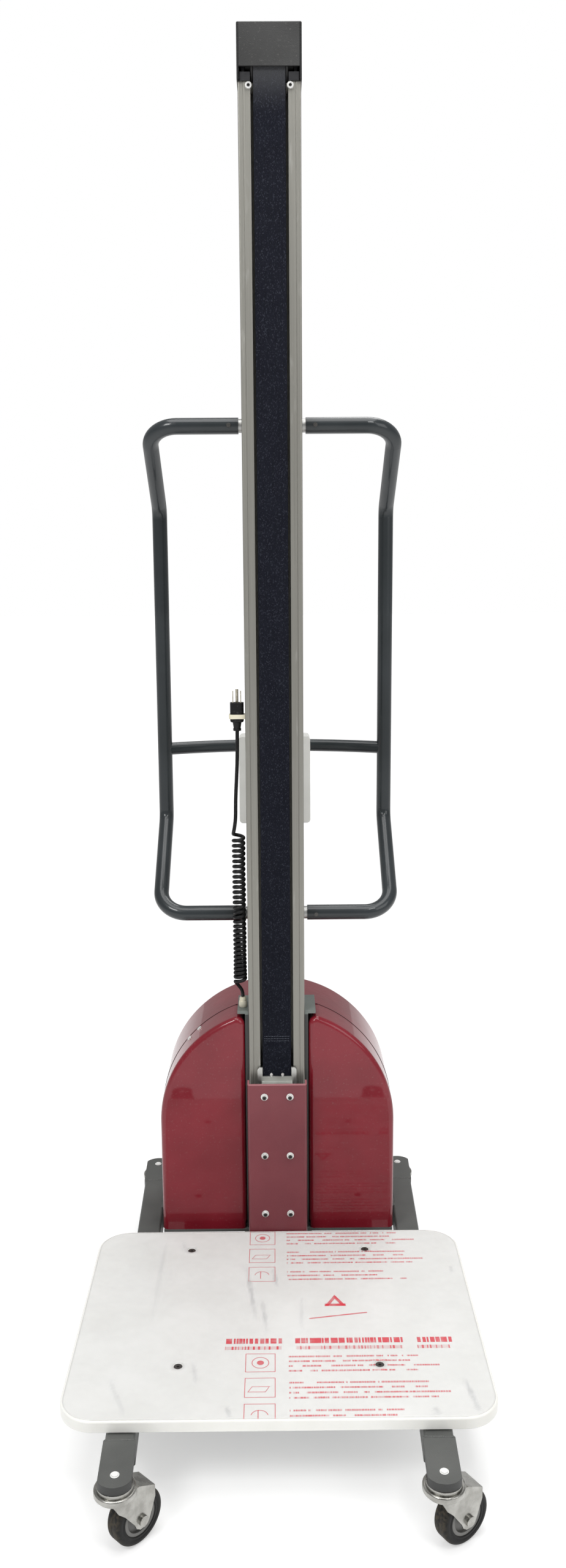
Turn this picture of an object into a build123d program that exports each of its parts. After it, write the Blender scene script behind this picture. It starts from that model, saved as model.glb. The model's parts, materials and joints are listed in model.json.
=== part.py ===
"""Straddle mini stacker: strap mast, lifting platform, straddle legs on casters.

Millimetres. +X is the operator's left-to-right seen from the platform side, -Y is the platform
side, +Z is up. The parts are drawn in the mast's frame (Y = 0 is the mast's front face, Z = 0 the
floor) and are moved along Y at the end, so that the row's origin is the middle of the footprint.
"""
from build123d import *
from math import asin, cos, degrees, pi, radians, sin, tan
import os

os.makedirs("parts", exist_ok=True)

# ---------------------------------------------------------------- driving dimensions
# clearances
GAP = 0.3            # smallest gap between parts that move against each other
RUN = 0.05           # radial running clearance of a shaft in its bore
SEAM = 0.8           # joint line between the front and rear covers

# mast
MAST_W = 94.0
MAST_D = 80.0
MAST_TOP = 1954.0
MAST_FOOT = 77.0
MAST_WALL = 5.0
SLOT_W = 56.0        # front slot
LIP = 5.0            # lips beside the slot
CHANNEL_END = 50.0   # back of the roller channel
WEB = 4.0            # wall between the roller channel and the strap cavity
REAR_WALL = 4.0
GROOVE_IN = 8.0      # centre of each drawn groove, in from the mast's side
GROOVE_W = 1.2
WINDOW_W = 68.0      # opening in the mast's back for the drum
WINDOW_H = 104.0
CUT = 1.0            # how far a cutting block runs past the face that it opens

# chassis
LEG_W = 40.0
LEG_H = 40.0
LEG_WALL = 3.0
LEG_TOP = 112.0
LEG_X = 225.2        # leg centre beside the mast's front face
TOE_IN = 1.5         # degrees
LEG_FRONT = -512.0
LEG_REAR = 184.0
PLATE_T = 12.0       # end plates over the casters
PLATE_W = 43.0
PIVOT_FRONT = -575.0
PIVOT_REAR = 247.0
BASE_T = 5.0
BASE_TOP = LEG_TOP + BASE_T

# mast holder
HOLDER_RIM = 19.0    # top plate beside the mast
HOLDER_T = 5.0
HOLDER_FRONT = 5.0
CHEEK_T = 6.0
FOOT_REACH = 21.0    # feet beside the mast
FOOT_T = 6.0
BOLT_OUT = 14.0      # bolts beside the mast
BOLT_Y = (20.0, 60.0)
BOLT_R = 3.0
HOLE_R = 3.2

# covers
COVER_R = 199.5
COVER_SPRING = 315.0  # height of the arch's centre
COVER_WALL = 3.0
COVER_CLEAR = 0.7     # between a holder cheek and a front cover
COVER_SPLIT = 65.0    # depth of the front covers
COVER_BACK = 190.0
HOLDER_TOP = COVER_SPRING + COVER_R - 2.1  # just under the arch's crown

# strap and its pulley and drum
STRAP_W = 48.0
STRAP_T = 2.4
PULLEY_R = 31.6
PULLEY_FLANGE_R = 35.0
PULLEY_Y = 33.0
PULLEY_Z = MAST_TOP + 31.0
WRAP_R = PULLEY_R + GAP + 0.1
DRUM_R = 29.7
DRUM_FLANGE_R = 43.0
DRUM_Z = 230.0
STRAP_END = 394.0

# carriage and platform
CARRIAGE_TOP = 386.0
CARRIAGE_LOW = 90.0
COVER_PLATE_Y = -28.0
COVER_PLATE_T = 3.0
COVER_PLATE_W = 100.0
COVER_PLATE_TOP = 395.0
COVER_PLATE_LOW = 74.0
ROLLER_R = 22.0
ROLLER_Y = LIP + (CHANNEL_END - LIP) / 2
BOARD_W = 600.0
BOARD_D = 470.8
BOARD_T = 16.0
BOARD_TOP = 130.0
BOARD_BACK = -30.0
BOARD_CORNER = 50.0
FILM_T = 0.2

# casters
WHEEL_R = 37.5
TYRE_W = 24.0
TYRE_T = 13.0
RIM_R = WHEEL_R - TYRE_T
AXLE_R = 4.0
KINGPIN_R = 6.0
RACE_LOW = 87.5       # underside of the fork's ring
TRAIL = 30.0
CASTER_TOP = LEG_TOP - PLATE_T
FORK_GAP = 28.0
FORK_T = 2.5

# handles
TUBE_R = 12.7
TUBE_WALL = 2.0
HANDLE_X = 195.3
HANDLE_FRONT = 40.0
HANDLE_BACK = 205.0
HANDLE_TOP = 1468.0
HANDLE_KINK_TOP = 1347.0
HANDLE_KINK_LOW = 806.0
HANDLE_LOW = 674.0
HANDLE_GAP = 6.0      # from the mast's side to the tube's end
SPIGOT_IN = 29.0      # how far a spigot reaches into the tube
SPIGOT_SCREW_IN = 15.0
HANDLE_BEND = 45.0
KINK_BEND = 30.0
BAR_R = 11.0
BAR_Z = 930.0
BAR_BULGE = 40.0
SCREW_R = 2.0         # the small screws of the handles and covers
SCREW_HOLE_R = 2.2

# charging cord
CORD_R = 3.0
COIL_R = 10.5
COIL_X = -60.5
COIL_Y = 14.0
COIL_LOW = 562.0
COIL_HIGH = 816.0
GLAND_X = -57.0
GLAND_Y = 28.0
GLAND_H = 18.0
GLAND_R = 7.0
TAIL_X = -62.5       # where the cord enters the coil
TAIL_Y = 14.5
LEAD_X = -64.5       # where it leaves the coil
PLUG_Y = 20.0
PLUG_LOW = 987.0
PLUG_W = 22.0
PLUG_T = 18.0
PLUG_H = 32.0
PRONG_PITCH = 12.7

parts = {}


# ---------------------------------------------------------------- helpers
def block(x, y, z):
    """Box between two limits on each axis."""
    size = (x[1] - x[0], y[1] - y[0], z[1] - z[0])
    return Pos(x[0], y[0], z[0]) * Box(*size, align=(Align.MIN,) * 3)


def rod_x(r, x0, x1, y, z):
    """Cylinder along X."""
    return Pos((x0 + x1) / 2, y, z) * Rot(0, 90, 0) * Cylinder(r, abs(x1 - x0))


def rod_y(r, y0, y1, x, z):
    """Cylinder along Y."""
    return Pos(x, (y0 + y1) / 2, z) * Rot(90, 0, 0) * Cylinder(r, abs(y1 - y0))


def rod_z(r, z0, z1, x=0, y=0):
    """Cylinder along Z."""
    return Pos(x, y, (z0 + z1) / 2) * Cylinder(r, abs(z1 - z0))


def slab_y(sketch, y0, y1):
    """A sketch drawn in (X, Z), given thickness along Y."""
    return Pos(0, y1, 0) * Rot(90, 0, 0) * extrude(sketch, y1 - y0)


def mirrored(shape):
    """The same shape on the other side of the truck."""
    return mirror(shape, Plane.YZ)


def pipe(points, radii, r):
    """Round bar along straight runs joined by tangent arcs."""
    path = FilletPolyline(*points, radius=radii)
    start = Vector(*points[0])
    direction = Vector(*points[1]) - start
    section = Plane(origin=start, z_dir=direction) * Circle(r)
    return sweep(section, path=path)


def group(*shapes):
    """Several separate solids as one node."""
    solids = []
    for shape in shapes:
        solids.extend(shape.solids())
    return Compound(children=solids)


def add(name, shape):
    parts[name] = shape


# ---------------------------------------------------------------- chassis
def leg_point(y):
    """Centre of the right leg at a distance y along it."""
    return LEG_X + y * sin(radians(TOE_IN)), y * cos(radians(TOE_IN))


def on_leg(shape):
    """Move a shape drawn along Y onto the right leg."""
    return Pos(LEG_X, 0, 0) * Rot(0, 0, -TOE_IN) * shape


half = LEG_W / 2
low = LEG_TOP - LEG_H
leg_outer = block((-half, half), (LEG_FRONT, LEG_REAR), (low, LEG_TOP))
leg_outer = fillet(leg_outer.edges().filter_by(Axis.Y), 4)
leg_inner = block((-half + LEG_WALL, half - LEG_WALL), (LEG_FRONT + LEG_WALL + CUT, LEG_REAR + CUT),
                  (low + LEG_WALL, LEG_TOP - LEG_WALL))


def end_plate(y_tube, y_pivot):
    """Flat plate from the tube's end to a rounded tip just past the kingpin."""
    way = 1 if y_pivot > y_tube else -1
    tip = y_pivot + way * 11
    w = PLATE_W / 2
    outline = Polyline((-w, y_tube), (w, y_tube), (w, tip), close=False)
    outline += ThreePointArc((w, tip), (0, tip + way * 12), (-w, tip))
    outline += Line((-w, tip), (-w, y_tube))
    plate = Pos(0, 0, CASTER_TOP) * extrude(make_face(outline), PLATE_T)
    return plate - rod_z(KINGPIN_R + 0.2, CASTER_TOP - CUT, LEG_TOP + CUT, 0, y_pivot)


leg = leg_outer - leg_inner
leg = leg + end_plate(LEG_FRONT, PIVOT_FRONT) + end_plate(LEG_REAR, PIVOT_REAR)
right_leg = on_leg(leg)
add("right_leg", right_leg)
add("left_leg", mirrored(right_leg))

leg_solid = on_leg(leg_outer)
BEAM_Y = (84.0, 140.0)
FOOT_PLATE_X = 60.0
beam_x = LEG_X + 5
beams = []
for y in BEAM_Y:
    beam = block((-beam_x, beam_x), (y, y + LEG_W), (low, LEG_TOP))
    beam -= block((-beam_x - CUT, beam_x + CUT), (y + LEG_WALL, y + LEG_W - LEG_WALL),
                  (low + LEG_WALL, LEG_TOP - LEG_WALL))
    beams.append(beam - leg_solid - mirrored(leg_solid))
beams[0] += block((-FOOT_PLATE_X, FOOT_PLATE_X), (0, BEAM_Y[0]), (low, MAST_FOOT))
add("cross_beams", group(*[b.solids().sort_by(SortBy.VOLUME)[-1] for b in beams]))

cheek_in = MAST_W / 2 + GAP
cheek_out = cheek_in + CHEEK_T
foot_out = MAST_W / 2 + FOOT_REACH
cover_inner = cheek_out + COVER_CLEAR
base_x = COVER_R - 1.5
base = block((-base_x, base_x), (0, COVER_BACK), (LEG_TOP, BASE_TOP))
base -= block((-cheek_in, cheek_in), (-CUT, MAST_D + 0.5), (LEG_TOP - CUT, BASE_TOP + CUT))
bolt_x = MAST_W / 2 + BOLT_OUT
HOLDER_BOLTS = [(side * bolt_x, y) for side in (-1, 1) for y in BOLT_Y]
for x, y in HOLDER_BOLTS:
    base -= rod_z(HOLE_R, LEG_TOP - CUT, BASE_TOP + CUT, x, y)
add("base_plate", base)

# ---------------------------------------------------------------- mast
mast = block((-MAST_W / 2, MAST_W / 2), (0, MAST_D), (MAST_FOOT, MAST_TOP))
mast = fillet(mast.edges().filter_by(Axis.Z), 2)
inner_x = MAST_W / 2 - MAST_WALL
full = (MAST_FOOT - CUT, MAST_TOP + CUT)
mast -= block((-inner_x, inner_x), (LIP, CHANNEL_END), full)
mast -= block((-inner_x, inner_x), (CHANNEL_END + WEB, MAST_D - REAR_WALL), full)
mast -= block((-SLOT_W / 2, SLOT_W / 2), (-CUT, LIP + CUT), full)
for side in (-1, 1):
    groove = block((-GROOVE_W / 2, GROOVE_W / 2), (-CUT, GROOVE_W / 2), full)
    mast -= Pos(side * (MAST_W / 2 - GROOVE_IN), 0, 0) * groove
mast -= block((-WINDOW_W / 2, WINDOW_W / 2), (MAST_D - REAR_WALL - CUT, MAST_D + CUT),
              (DRUM_Z - WINDOW_H / 2, DRUM_Z + WINDOW_H / 2))
TOP_SCREW_X = SLOT_W / 2 + 3
TOP_SCREWS = [(side * TOP_SCREW_X, MAST_TOP - 6.5) for side in (-1, 1)]
for x, z in TOP_SCREWS:
    mast -= rod_y(2.6, -CUT, LIP + CUT, x, z)
add("mast", mast)

# mast holder: cheeks beside the mast, feet on the base plate, a plate round the mast on top
holder = None
for side in (-1, 1):
    x_in, x_out = sorted((side * cheek_in, side * cheek_out))
    cheek = block((x_in, x_out), (HOLDER_FRONT, MAST_D), (BASE_TOP, HOLDER_TOP - HOLDER_T))
    f_in, f_out = sorted((side * cheek_in, side * foot_out))
    foot = block((f_in, f_out), (HOLDER_FRONT + 3, MAST_D - 8), (BASE_TOP, BASE_TOP + FOOT_T))
    holder = cheek + foot if holder is None else holder + cheek + foot
holder_x = MAST_W / 2 + HOLDER_RIM
top_plate = block((-holder_x, holder_x), (HOLDER_FRONT, MAST_D + 2), (HOLDER_TOP - HOLDER_T, HOLDER_TOP))
top_plate -= block((-cheek_in, cheek_in), (0, MAST_D + GAP),
                   (HOLDER_TOP - HOLDER_T - CUT, HOLDER_TOP + CUT))
holder += top_plate
for x, y in HOLDER_BOLTS:
    holder -= rod_z(HOLE_R, BASE_TOP - CUT, BASE_TOP + FOOT_T + CUT, x, y)
add("mast_holder", holder)

# ---------------------------------------------------------------- top cover, pulley
TOP_HIGH = MAST_TOP + 78.0
TOP_OVER = 1.0       # top cover beyond the mast's sides
TOP_FRONT = -8.0
TOP_BACK = MAST_D + 4.0
TOP_WALL = 3.0
MOUTH_H = 18.0       # opening below the front panel
top_x = MAST_W / 2 + TOP_OVER
box_in = top_x - TOP_WALL
cover_box = block((-top_x, top_x), (TOP_FRONT, TOP_BACK), (MAST_TOP, TOP_HIGH))
rims = cover_box.edges().filter_by(Axis.Z) + cover_box.faces().sort_by(Axis.Z)[-1].edges()
cover_box = fillet(rims, 2)
hollow = block((-box_in, box_in), (TOP_FRONT + TOP_WALL, TOP_BACK - TOP_WALL),
               (MAST_TOP - CUT, TOP_HIGH - TOP_WALL))
mouth = block((-box_in, box_in), (TOP_FRONT - CUT, TOP_FRONT + TOP_WALL + CUT),
              (MAST_TOP - CUT, MAST_TOP + MOUTH_H))
add("top_cover", cover_box - hollow - mouth)

BRACKET_T = 4.0
PULLEY_AXLE_R = 6.0
bracket_out = MAST_W / 2 - 6
bracket_in = bracket_out - BRACKET_T
flange_in = STRAP_W / 2 + 0.6
flange_out = flange_in + 3
bracket = block((-bracket_out, bracket_out), (70, 74), (MAST_TOP, PULLEY_Z + 4))
for side in (-1, 1):
    a, b = sorted((side * bracket_in, side * bracket_out))
    bracket += block((a, b), (4, 72), (MAST_TOP, PULLEY_Z + 26))
    a, b = sorted((side * (SLOT_W / 2 + 0.5), side * (bracket_out + 3)))
    bracket += block((a, b), (1, 72), (MAST_TOP, MAST_TOP + BRACKET_T))
    bracket += block((a, b), (-2.5, 1), (MAST_TOP, MAST_TOP + 12))
    bracket -= rod_x(PULLEY_AXLE_R + RUN, side * (bracket_in - CUT), side * (bracket_out + CUT),
                     PULLEY_Y, PULLEY_Z)
add("pulley_bracket", bracket)
axle = rod_x(PULLEY_AXLE_R, -bracket_out - 1, bracket_out + 1, PULLEY_Y, PULLEY_Z)
for side in (-1, 1):
    axle += rod_x(8.5, side * bracket_out, side * (bracket_out + 2), PULLEY_Y, PULLEY_Z)
add("pulley_axle", axle)
pulley = rod_x(PULLEY_R, -flange_in - 0.8, flange_in + 0.8, PULLEY_Y, PULLEY_Z)
for side in (-1, 1):
    pulley += rod_x(PULLEY_FLANGE_R, side * flange_in, side * flange_out, PULLEY_Y, PULLEY_Z)
    pulley += rod_x(11, side * (flange_out - 0.6), side * (bracket_in - 0.5), PULLEY_Y, PULLEY_Z)
pulley -= rod_x(PULLEY_AXLE_R + RUN, -bracket_in, bracket_in, PULLEY_Y, PULLEY_Z)
add("top_pulley", pulley)

# ---------------------------------------------------------------- strap
strap_x = (-STRAP_W / 2, STRAP_W / 2)
front_y = PULLEY_Y - WRAP_R - STRAP_T
back_y = PULLEY_Y + WRAP_R
add("strap_front_run", block(strap_x, (front_y, front_y + STRAP_T), (STRAP_END, PULLEY_Z)))
ring = rod_x(WRAP_R + STRAP_T, *strap_x, PULLEY_Y, PULLEY_Z)
ring -= rod_x(WRAP_R, -STRAP_W, STRAP_W, PULLEY_Y, PULLEY_Z)
ring -= block((-STRAP_W, STRAP_W), (front_y - CUT, back_y + STRAP_T + CUT), (PULLEY_Z - 60, PULLEY_Z))
back_run = block(strap_x, (back_y, back_y + STRAP_T), (DRUM_Z, PULLEY_Z))
DRUM_Y = back_y + DRUM_R + GAP + STRAP_T
turn_r = DRUM_R + GAP
turn = rod_x(turn_r + STRAP_T, *strap_x, DRUM_Y, DRUM_Z)
turn -= rod_x(turn_r, -STRAP_W, STRAP_W, DRUM_Y, DRUM_Z)
turn -= block((-STRAP_W, STRAP_W), (DRUM_Y - 2 * DRUM_R, DRUM_Y - 14), (DRUM_Z, DRUM_Z + 2 * DRUM_R))
add("strap_back_run", ring + back_run + turn)

SHAFT_R = 8.0
drum_in = STRAP_W / 2 + 2.5
drum_out = drum_in + 3
left_bearing_x = (-drum_out - 34.5, -drum_out - 27.5)
right_bearing_x = (drum_out + 25.5, drum_out + 31.5)
drum = rod_x(DRUM_R, -drum_in - 0.3, drum_in + 0.3, DRUM_Y, DRUM_Z)
for side in (-1, 1):
    drum += rod_x(DRUM_FLANGE_R, side * drum_in, side * drum_out, DRUM_Y, DRUM_Z)
drum += rod_x(SHAFT_R, left_bearing_x[0] - 2, right_bearing_x[1] - 0.3, DRUM_Y, DRUM_Z)
add("strap_drum", drum)

MOTOR_Y = (84.0, 146.0)
MOTOR_Z = (190.0, 270.0)
MOTOR_R = 31.0
left_bearing = block(left_bearing_x, (DRUM_Y - 22, DRUM_Y + 24), (BASE_TOP, DRUM_Z + 24))
right_bearing = block(right_bearing_x, MOTOR_Y, (BASE_TOP, MOTOR_Z[1] + 2))
shaft_bore = rod_x(SHAFT_R + RUN, -COVER_R, COVER_R, DRUM_Y, DRUM_Z)
add("drum_brackets", group(left_bearing - shaft_bore, right_bearing - shaft_bore))
gear_end = right_bearing_x[1] + 58
gearbox = block((right_bearing_x[1], gear_end), MOTOR_Y, MOTOR_Z)
gearbox = fillet(gearbox.edges().filter_by(Axis.X), 5)
motor = rod_x(MOTOR_R, gear_end, COVER_R - 13.5, sum(MOTOR_Y) / 2 - 3, sum(MOTOR_Z) / 2 + 2)
add("gear_motor", gearbox + motor)

# ---------------------------------------------------------------- energy and control
BATTERY = (151.0, 95.0)   # depth and height
BATTERY_GAP = 28.0         # beside the left bearing
BATTERY_TOP_T = 4.0
BATTERY_Y = 15.0
battery_x = (COVER_WALL + 6.5 - COVER_R, left_bearing_x[0] - BATTERY_GAP)
battery_y = (BATTERY_Y, BATTERY_Y + BATTERY[0])
batteries = []
for n in range(2):
    z = BASE_TOP + n * BATTERY[1]
    lid = z + BATTERY[1] - BATTERY_TOP_T
    body = block(battery_x, battery_y, (z, lid))
    body = fillet(body.edges().filter_by(Axis.Z), 4)
    body += block((battery_x[0] + 10, battery_x[1] - 10), (battery_y[0] + 10, battery_y[1] - 10),
                  (lid, z + BATTERY[1]))
    batteries.append(body)
add("batteries", group(*batteries))
top_of_cells = BASE_TOP + 2 * BATTERY[1]
controller = block((foot_out + 17, COVER_R - 14.5), (10, 50), (BASE_TOP, 250))
controller = fillet(controller.edges().filter_by(Axis.Z), 3)
charger = block((battery_x[0] + 15, -cheek_out - 26.7), (35, 135), (top_of_cells, top_of_cells + 48))
charger = fillet(charger.edges().filter_by(Axis.Z), 3)
add("power_units", group(controller, charger))

# ---------------------------------------------------------------- covers
def arch(r, bottom):
    """Arched outline in (X, Z)."""
    height = COVER_SPRING - bottom
    outline = Pos(0, bottom + height / 2) * Rectangle(2 * r, height)
    return outline + Pos(0, COVER_SPRING) * Circle(r)


def face_edges(shape, pick, bottom):
    """Edges of the front (pick 0) or back (pick -1) face, without the bottom one."""
    edges = shape.faces().sort_by(Axis.Y)[pick].edges()
    return edges.filter_by(lambda e: e.center().Z > bottom + 5)


def half_tub(r, inner, bottom, y0, y1, corner, soft):
    """Right half of an arched block, rounded at its top inner corner and round its front face."""
    outline = arch(r, bottom) & (Pos(inner + 200, 300) * Rectangle(400, 900))
    tub = slab_y(outline, y0, y1)
    peak = tub.edges().filter_by(Axis.Y).sort_by(Axis.Z)[-1]
    tub = fillet(peak, corner)
    return fillet(face_edges(tub, 0, bottom), soft)


split = COVER_SPLIT - SEAM / 2
CORNER_R = 14.0      # top inner corner of a front cover
FACE_R = 9.0         # edge round the front cover's face
outer = half_tub(COVER_R, cover_inner, BASE_TOP, 0, split, CORNER_R, FACE_R)
inner = half_tub(COVER_R - COVER_WALL, cover_inner + COVER_WALL, BASE_TOP - 20,
                 COVER_WALL, split + 5, CORNER_R - COVER_WALL, FACE_R - COVER_WALL)
right_cover = outer - inner
right_cover -= block((cover_inner - CUT, foot_out + 0.5), (COVER_WALL, split + CUT),
                     (BASE_TOP - CUT, BASE_TOP + FOOT_T + 7))
COVER_SCREWS = [(-132.7, 50.0), (-150.0, 50.0)]


def on_arch(shape, x, y):
    """Move a shape drawn along Z to stand square on the arch over x."""
    return Pos(0, y, COVER_SPRING) * Rot(0, degrees(asin(x / COVER_R)), 0) * shape


left_cover = mirrored(right_cover)
for x, y in COVER_SCREWS:
    left_cover -= on_arch(rod_z(2.2, COVER_R - 6, COVER_R + 2), x, y)
add("front_cover_right", right_cover)
add("front_cover_left", left_cover)

rear = slab_y(arch(COVER_R, BASE_TOP), COVER_SPLIT + SEAM / 2, COVER_BACK)
REAR_R = 16.0        # edge round the rear cover's back
rear = fillet(face_edges(rear, -1, BASE_TOP), REAR_R)
rear_in = slab_y(arch(COVER_R - COVER_WALL, BASE_TOP - 20), COVER_SPLIT - 5, COVER_BACK - COVER_WALL)
rear_in = fillet(face_edges(rear_in, -1, BASE_TOP - 20), REAR_R - COVER_WALL)
rear -= rear_in
rear -= block((-cover_inner - 1, cover_inner + 1), (0, MAST_D + 3), (LEG_TOP, HOLDER_TOP + 10))
rear -= block((-COVER_R - CUT, COVER_R + CUT), (0, COVER_BACK + CUT), (0, BASE_TOP))
add("rear_cover", rear)

# ---------------------------------------------------------------- handles
def handle_path(side):
    """Centreline of a handle loop, from its upper end at the mast to its lower one."""
    x = side * HANDLE_X
    end = side * (MAST_W / 2 + HANDLE_GAP)
    return [(end, HANDLE_FRONT, HANDLE_TOP), (x, HANDLE_FRONT, HANDLE_TOP),
            (x, HANDLE_BACK, HANDLE_KINK_TOP), (x, HANDLE_BACK, HANDLE_KINK_LOW),
            (x, HANDLE_FRONT, HANDLE_LOW), (end, HANDLE_FRONT, HANDLE_LOW)]


bends = [HANDLE_BEND, KINK_BEND, KINK_BEND, HANDLE_BEND]
tube_out = pipe(handle_path(1), bends, TUBE_R)
tube_in = pipe(handle_path(1), bends, TUBE_R - TUBE_WALL)
tube = tube_out - tube_in
spigot_screw_x = MAST_W / 2 + HANDLE_GAP + SPIGOT_SCREW_IN
for z in (HANDLE_TOP, HANDLE_LOW):
    tube -= rod_y(SCREW_HOLE_R, HANDLE_FRONT - TUBE_R - 7, HANDLE_FRONT, spigot_screw_x, z)
add("right_handle", tube)
add("left_handle", mirrored(tube))

spigots = []
for side in (-1, 1):
    for z in (HANDLE_TOP, HANDLE_LOW):
        reach = side * (MAST_W / 2 + HANDLE_GAP + SPIGOT_IN)
        stub = rod_x(TUBE_R - TUBE_WALL - 0.1, side * MAST_W / 2, reach, HANDLE_FRONT, z)
        stub -= rod_y(SCREW_HOLE_R, HANDLE_FRONT - TUBE_R - 7, HANDLE_FRONT, side * spigot_screw_x, z)
        spigots.append(stub)
add("handle_spigots", group(*spigots))

arc = ThreePointArc((-HANDLE_X, HANDLE_BACK, BAR_Z), (0, HANDLE_BACK + BAR_BULGE, BAR_Z),
                    (HANDLE_X, HANDLE_BACK, BAR_Z))
bar = sweep(Plane(origin=arc @ 0, z_dir=arc % 0) * Circle(BAR_R), path=arc)
bar = bar - tube_out - mirrored(tube_out)
add("handle_crossbar", bar.solids().sort_by(SortBy.VOLUME)[-1])

# ---------------------------------------------------------------- screws of the fixed frame
screws = []
for x, y in HOLDER_BOLTS:
    head = Pos(x, y, BASE_TOP + FOOT_T) * extrude(RegularPolygon(2 * BOLT_R, 6), 5)
    screws.append(head + rod_z(BOLT_R, LEG_TOP - 6, BASE_TOP + FOOT_T + CUT, x, y))
for x, z in TOP_SCREWS:
    head = rod_y(4.8, -4, 0, x, z) - rod_y(2.2, -4 - CUT, -1.6, x, z)
    screws.append(head + rod_y(2.4, -1, LIP + 4, x, z))
for side in (-1, 1):
    for z in (HANDLE_TOP, HANDLE_LOW):
        crest = HANDLE_FRONT - TUBE_R
        x = side * spigot_screw_x
        head = rod_y(3.4, crest - 1.6, crest, x, z)
        screws.append(head + rod_y(SCREW_R, crest - 1, HANDLE_FRONT - 2, x, z))
for x, y in COVER_SCREWS:
    screw = rod_z(SCREW_R, COVER_R - 8, COVER_R + 1) + rod_z(4.2, COVER_R, COVER_R + 2.6)
    screws.append(on_arch(screw, x, y))
add("frame_screws", group(*screws))

# ---------------------------------------------------------------- control box
BOX_X = 60.0
BOX_T = 50.0
BOX_BACK = MAST_D + BOX_T
BOX_Z = (820.0, 968.0)
BUTTONS = {"up_button": (-28.0, 930.0, 11.0), "down_button": (-28.0, 892.0, 11.0),
           "stop_button": (24.0, 911.0, 12.0)}
BUTTON_DEEP = 16.0
BUTTON_PUSH = 3.0
BUTTON_PROUD = 6.0
MUSHROOM_R = 19.0
MUSHROOM_T = 10.0
control = block((-BOX_X, BOX_X), (MAST_D, BOX_BACK), BOX_Z)
control = fillet(control.edges().filter_by(Axis.Y), 6)
control = fillet(control.faces().sort_by(Axis.Y)[-1].edges(), 2)
for x, z, r in BUTTONS.values():
    control -= rod_y(r + GAP, BOX_BACK - BUTTON_DEEP, BOX_BACK + CUT, x, z)
add("control_box", control)
proud = BOX_BACK + BUTTON_PROUD
for name, (x, z, r) in BUTTONS.items():
    button = rod_y(r, BOX_BACK - BUTTON_DEEP + BUTTON_PUSH + 1, proud, x, z)
    rounding = 1
    if name == "stop_button":
        button += rod_y(MUSHROOM_R, proud, proud + MUSHROOM_T, x, z)
        rounding = MUSHROOM_T / 2
    add(name, fillet(button.faces().sort_by(Axis.Y)[-1].edges(), rounding))

# ---------------------------------------------------------------- charging cord
def arc_radii(points):
    """Arcs as large as the two runs at each corner allow."""
    radii = []
    for before, corner, after in zip(points, points[1:], points[2:]):
        run_in = Vector(*corner) - Vector(*before)
        run_out = Vector(*after) - Vector(*corner)
        turn_angle = radians(run_in.get_angle(run_out))
        radii.append(0.45 * min(run_in.length, run_out.length) / tan(turn_angle / 2))
    return radii


def cord_run(name, points):
    """Tube along a stretch of the cord that isn't coiled."""
    radii = arc_radii(points)
    tube = pipe(points, radii, CORD_R)
    print(name, "radii", [round(r, 1) for r in radii], "length", round(tube.volume / (pi * CORD_R ** 2), 1))
    add(name, tube)


gland_top = HOLDER_TOP + GLAND_H
gland = rod_z(GLAND_R, HOLDER_TOP, gland_top, GLAND_X, GLAND_Y)
gland = fillet(gland.faces().sort_by(Axis.Z)[-1].edges(), 2.5)
add("cord_gland", gland)
cord_run("cord_tail", [(GLAND_X, GLAND_Y, gland_top), (GLAND_X, GLAND_Y, gland_top + 10),
                       (TAIL_X, TAIL_Y, COIL_LOW - 10), (TAIL_X, TAIL_Y, COIL_LOW)])
add("cord_curl", rod_z(COIL_R, COIL_LOW, COIL_HIGH, COIL_X, COIL_Y))
cord_run("cord_lead", [(LEAD_X, COIL_Y, COIL_HIGH), (LEAD_X, COIL_Y, COIL_HIGH + 50),
                       (COIL_X, PLUG_Y, COIL_HIGH + 120), (COIL_X, PLUG_Y, PLUG_LOW)])

body_low = PLUG_LOW + 14
plug_top = body_low + PLUG_H
section = block((COIL_X - PLUG_W / 2, COIL_X + PLUG_W / 2), (PLUG_Y - PLUG_T / 2, PLUG_Y + PLUG_T / 2),
                (body_low, plug_top))
section = fillet(section.edges().filter_by(Axis.Z), 5)
plug_body = fillet(section.faces().sort_by(Axis.Z)[0].edges(), 3)
neck = Pos(COIL_X, PLUG_Y, PLUG_LOW + 9) * Cone(5.5, 7.5, 12)
collar = rod_z(6.5, PLUG_LOW, PLUG_LOW + 4, COIL_X, PLUG_Y)
add("plug_body", plug_body + neck + collar)
prongs = []
for side in (-1, 1):
    x = COIL_X + side * PRONG_PITCH / 2
    blade = block((x - 0.8, x + 0.8), (PLUG_Y - 6.2, PLUG_Y + 0.1), (plug_top, plug_top + 19))
    prongs.append(blade)
prongs.append(rod_z(2.4, plug_top, plug_top + 21, COIL_X, PLUG_Y + 5.2))
add("plug_prongs", group(*prongs))

CLIP_EDGE = 2.0      # clip beyond the plug's sides
clip = block((COIL_X - PLUG_W / 2 - CLIP_EDGE, -MAST_W / 2),
             (PLUG_Y - PLUG_T / 2 - CLIP_EDGE, PLUG_Y + PLUG_T / 2 + CLIP_EDGE),
             (body_low + 6, body_low + 13))
clip = fillet(clip.edges().filter_by(Axis.Z).sort_by(Axis.X)[:2], 6)
add("plug_clip", clip - section)

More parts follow.
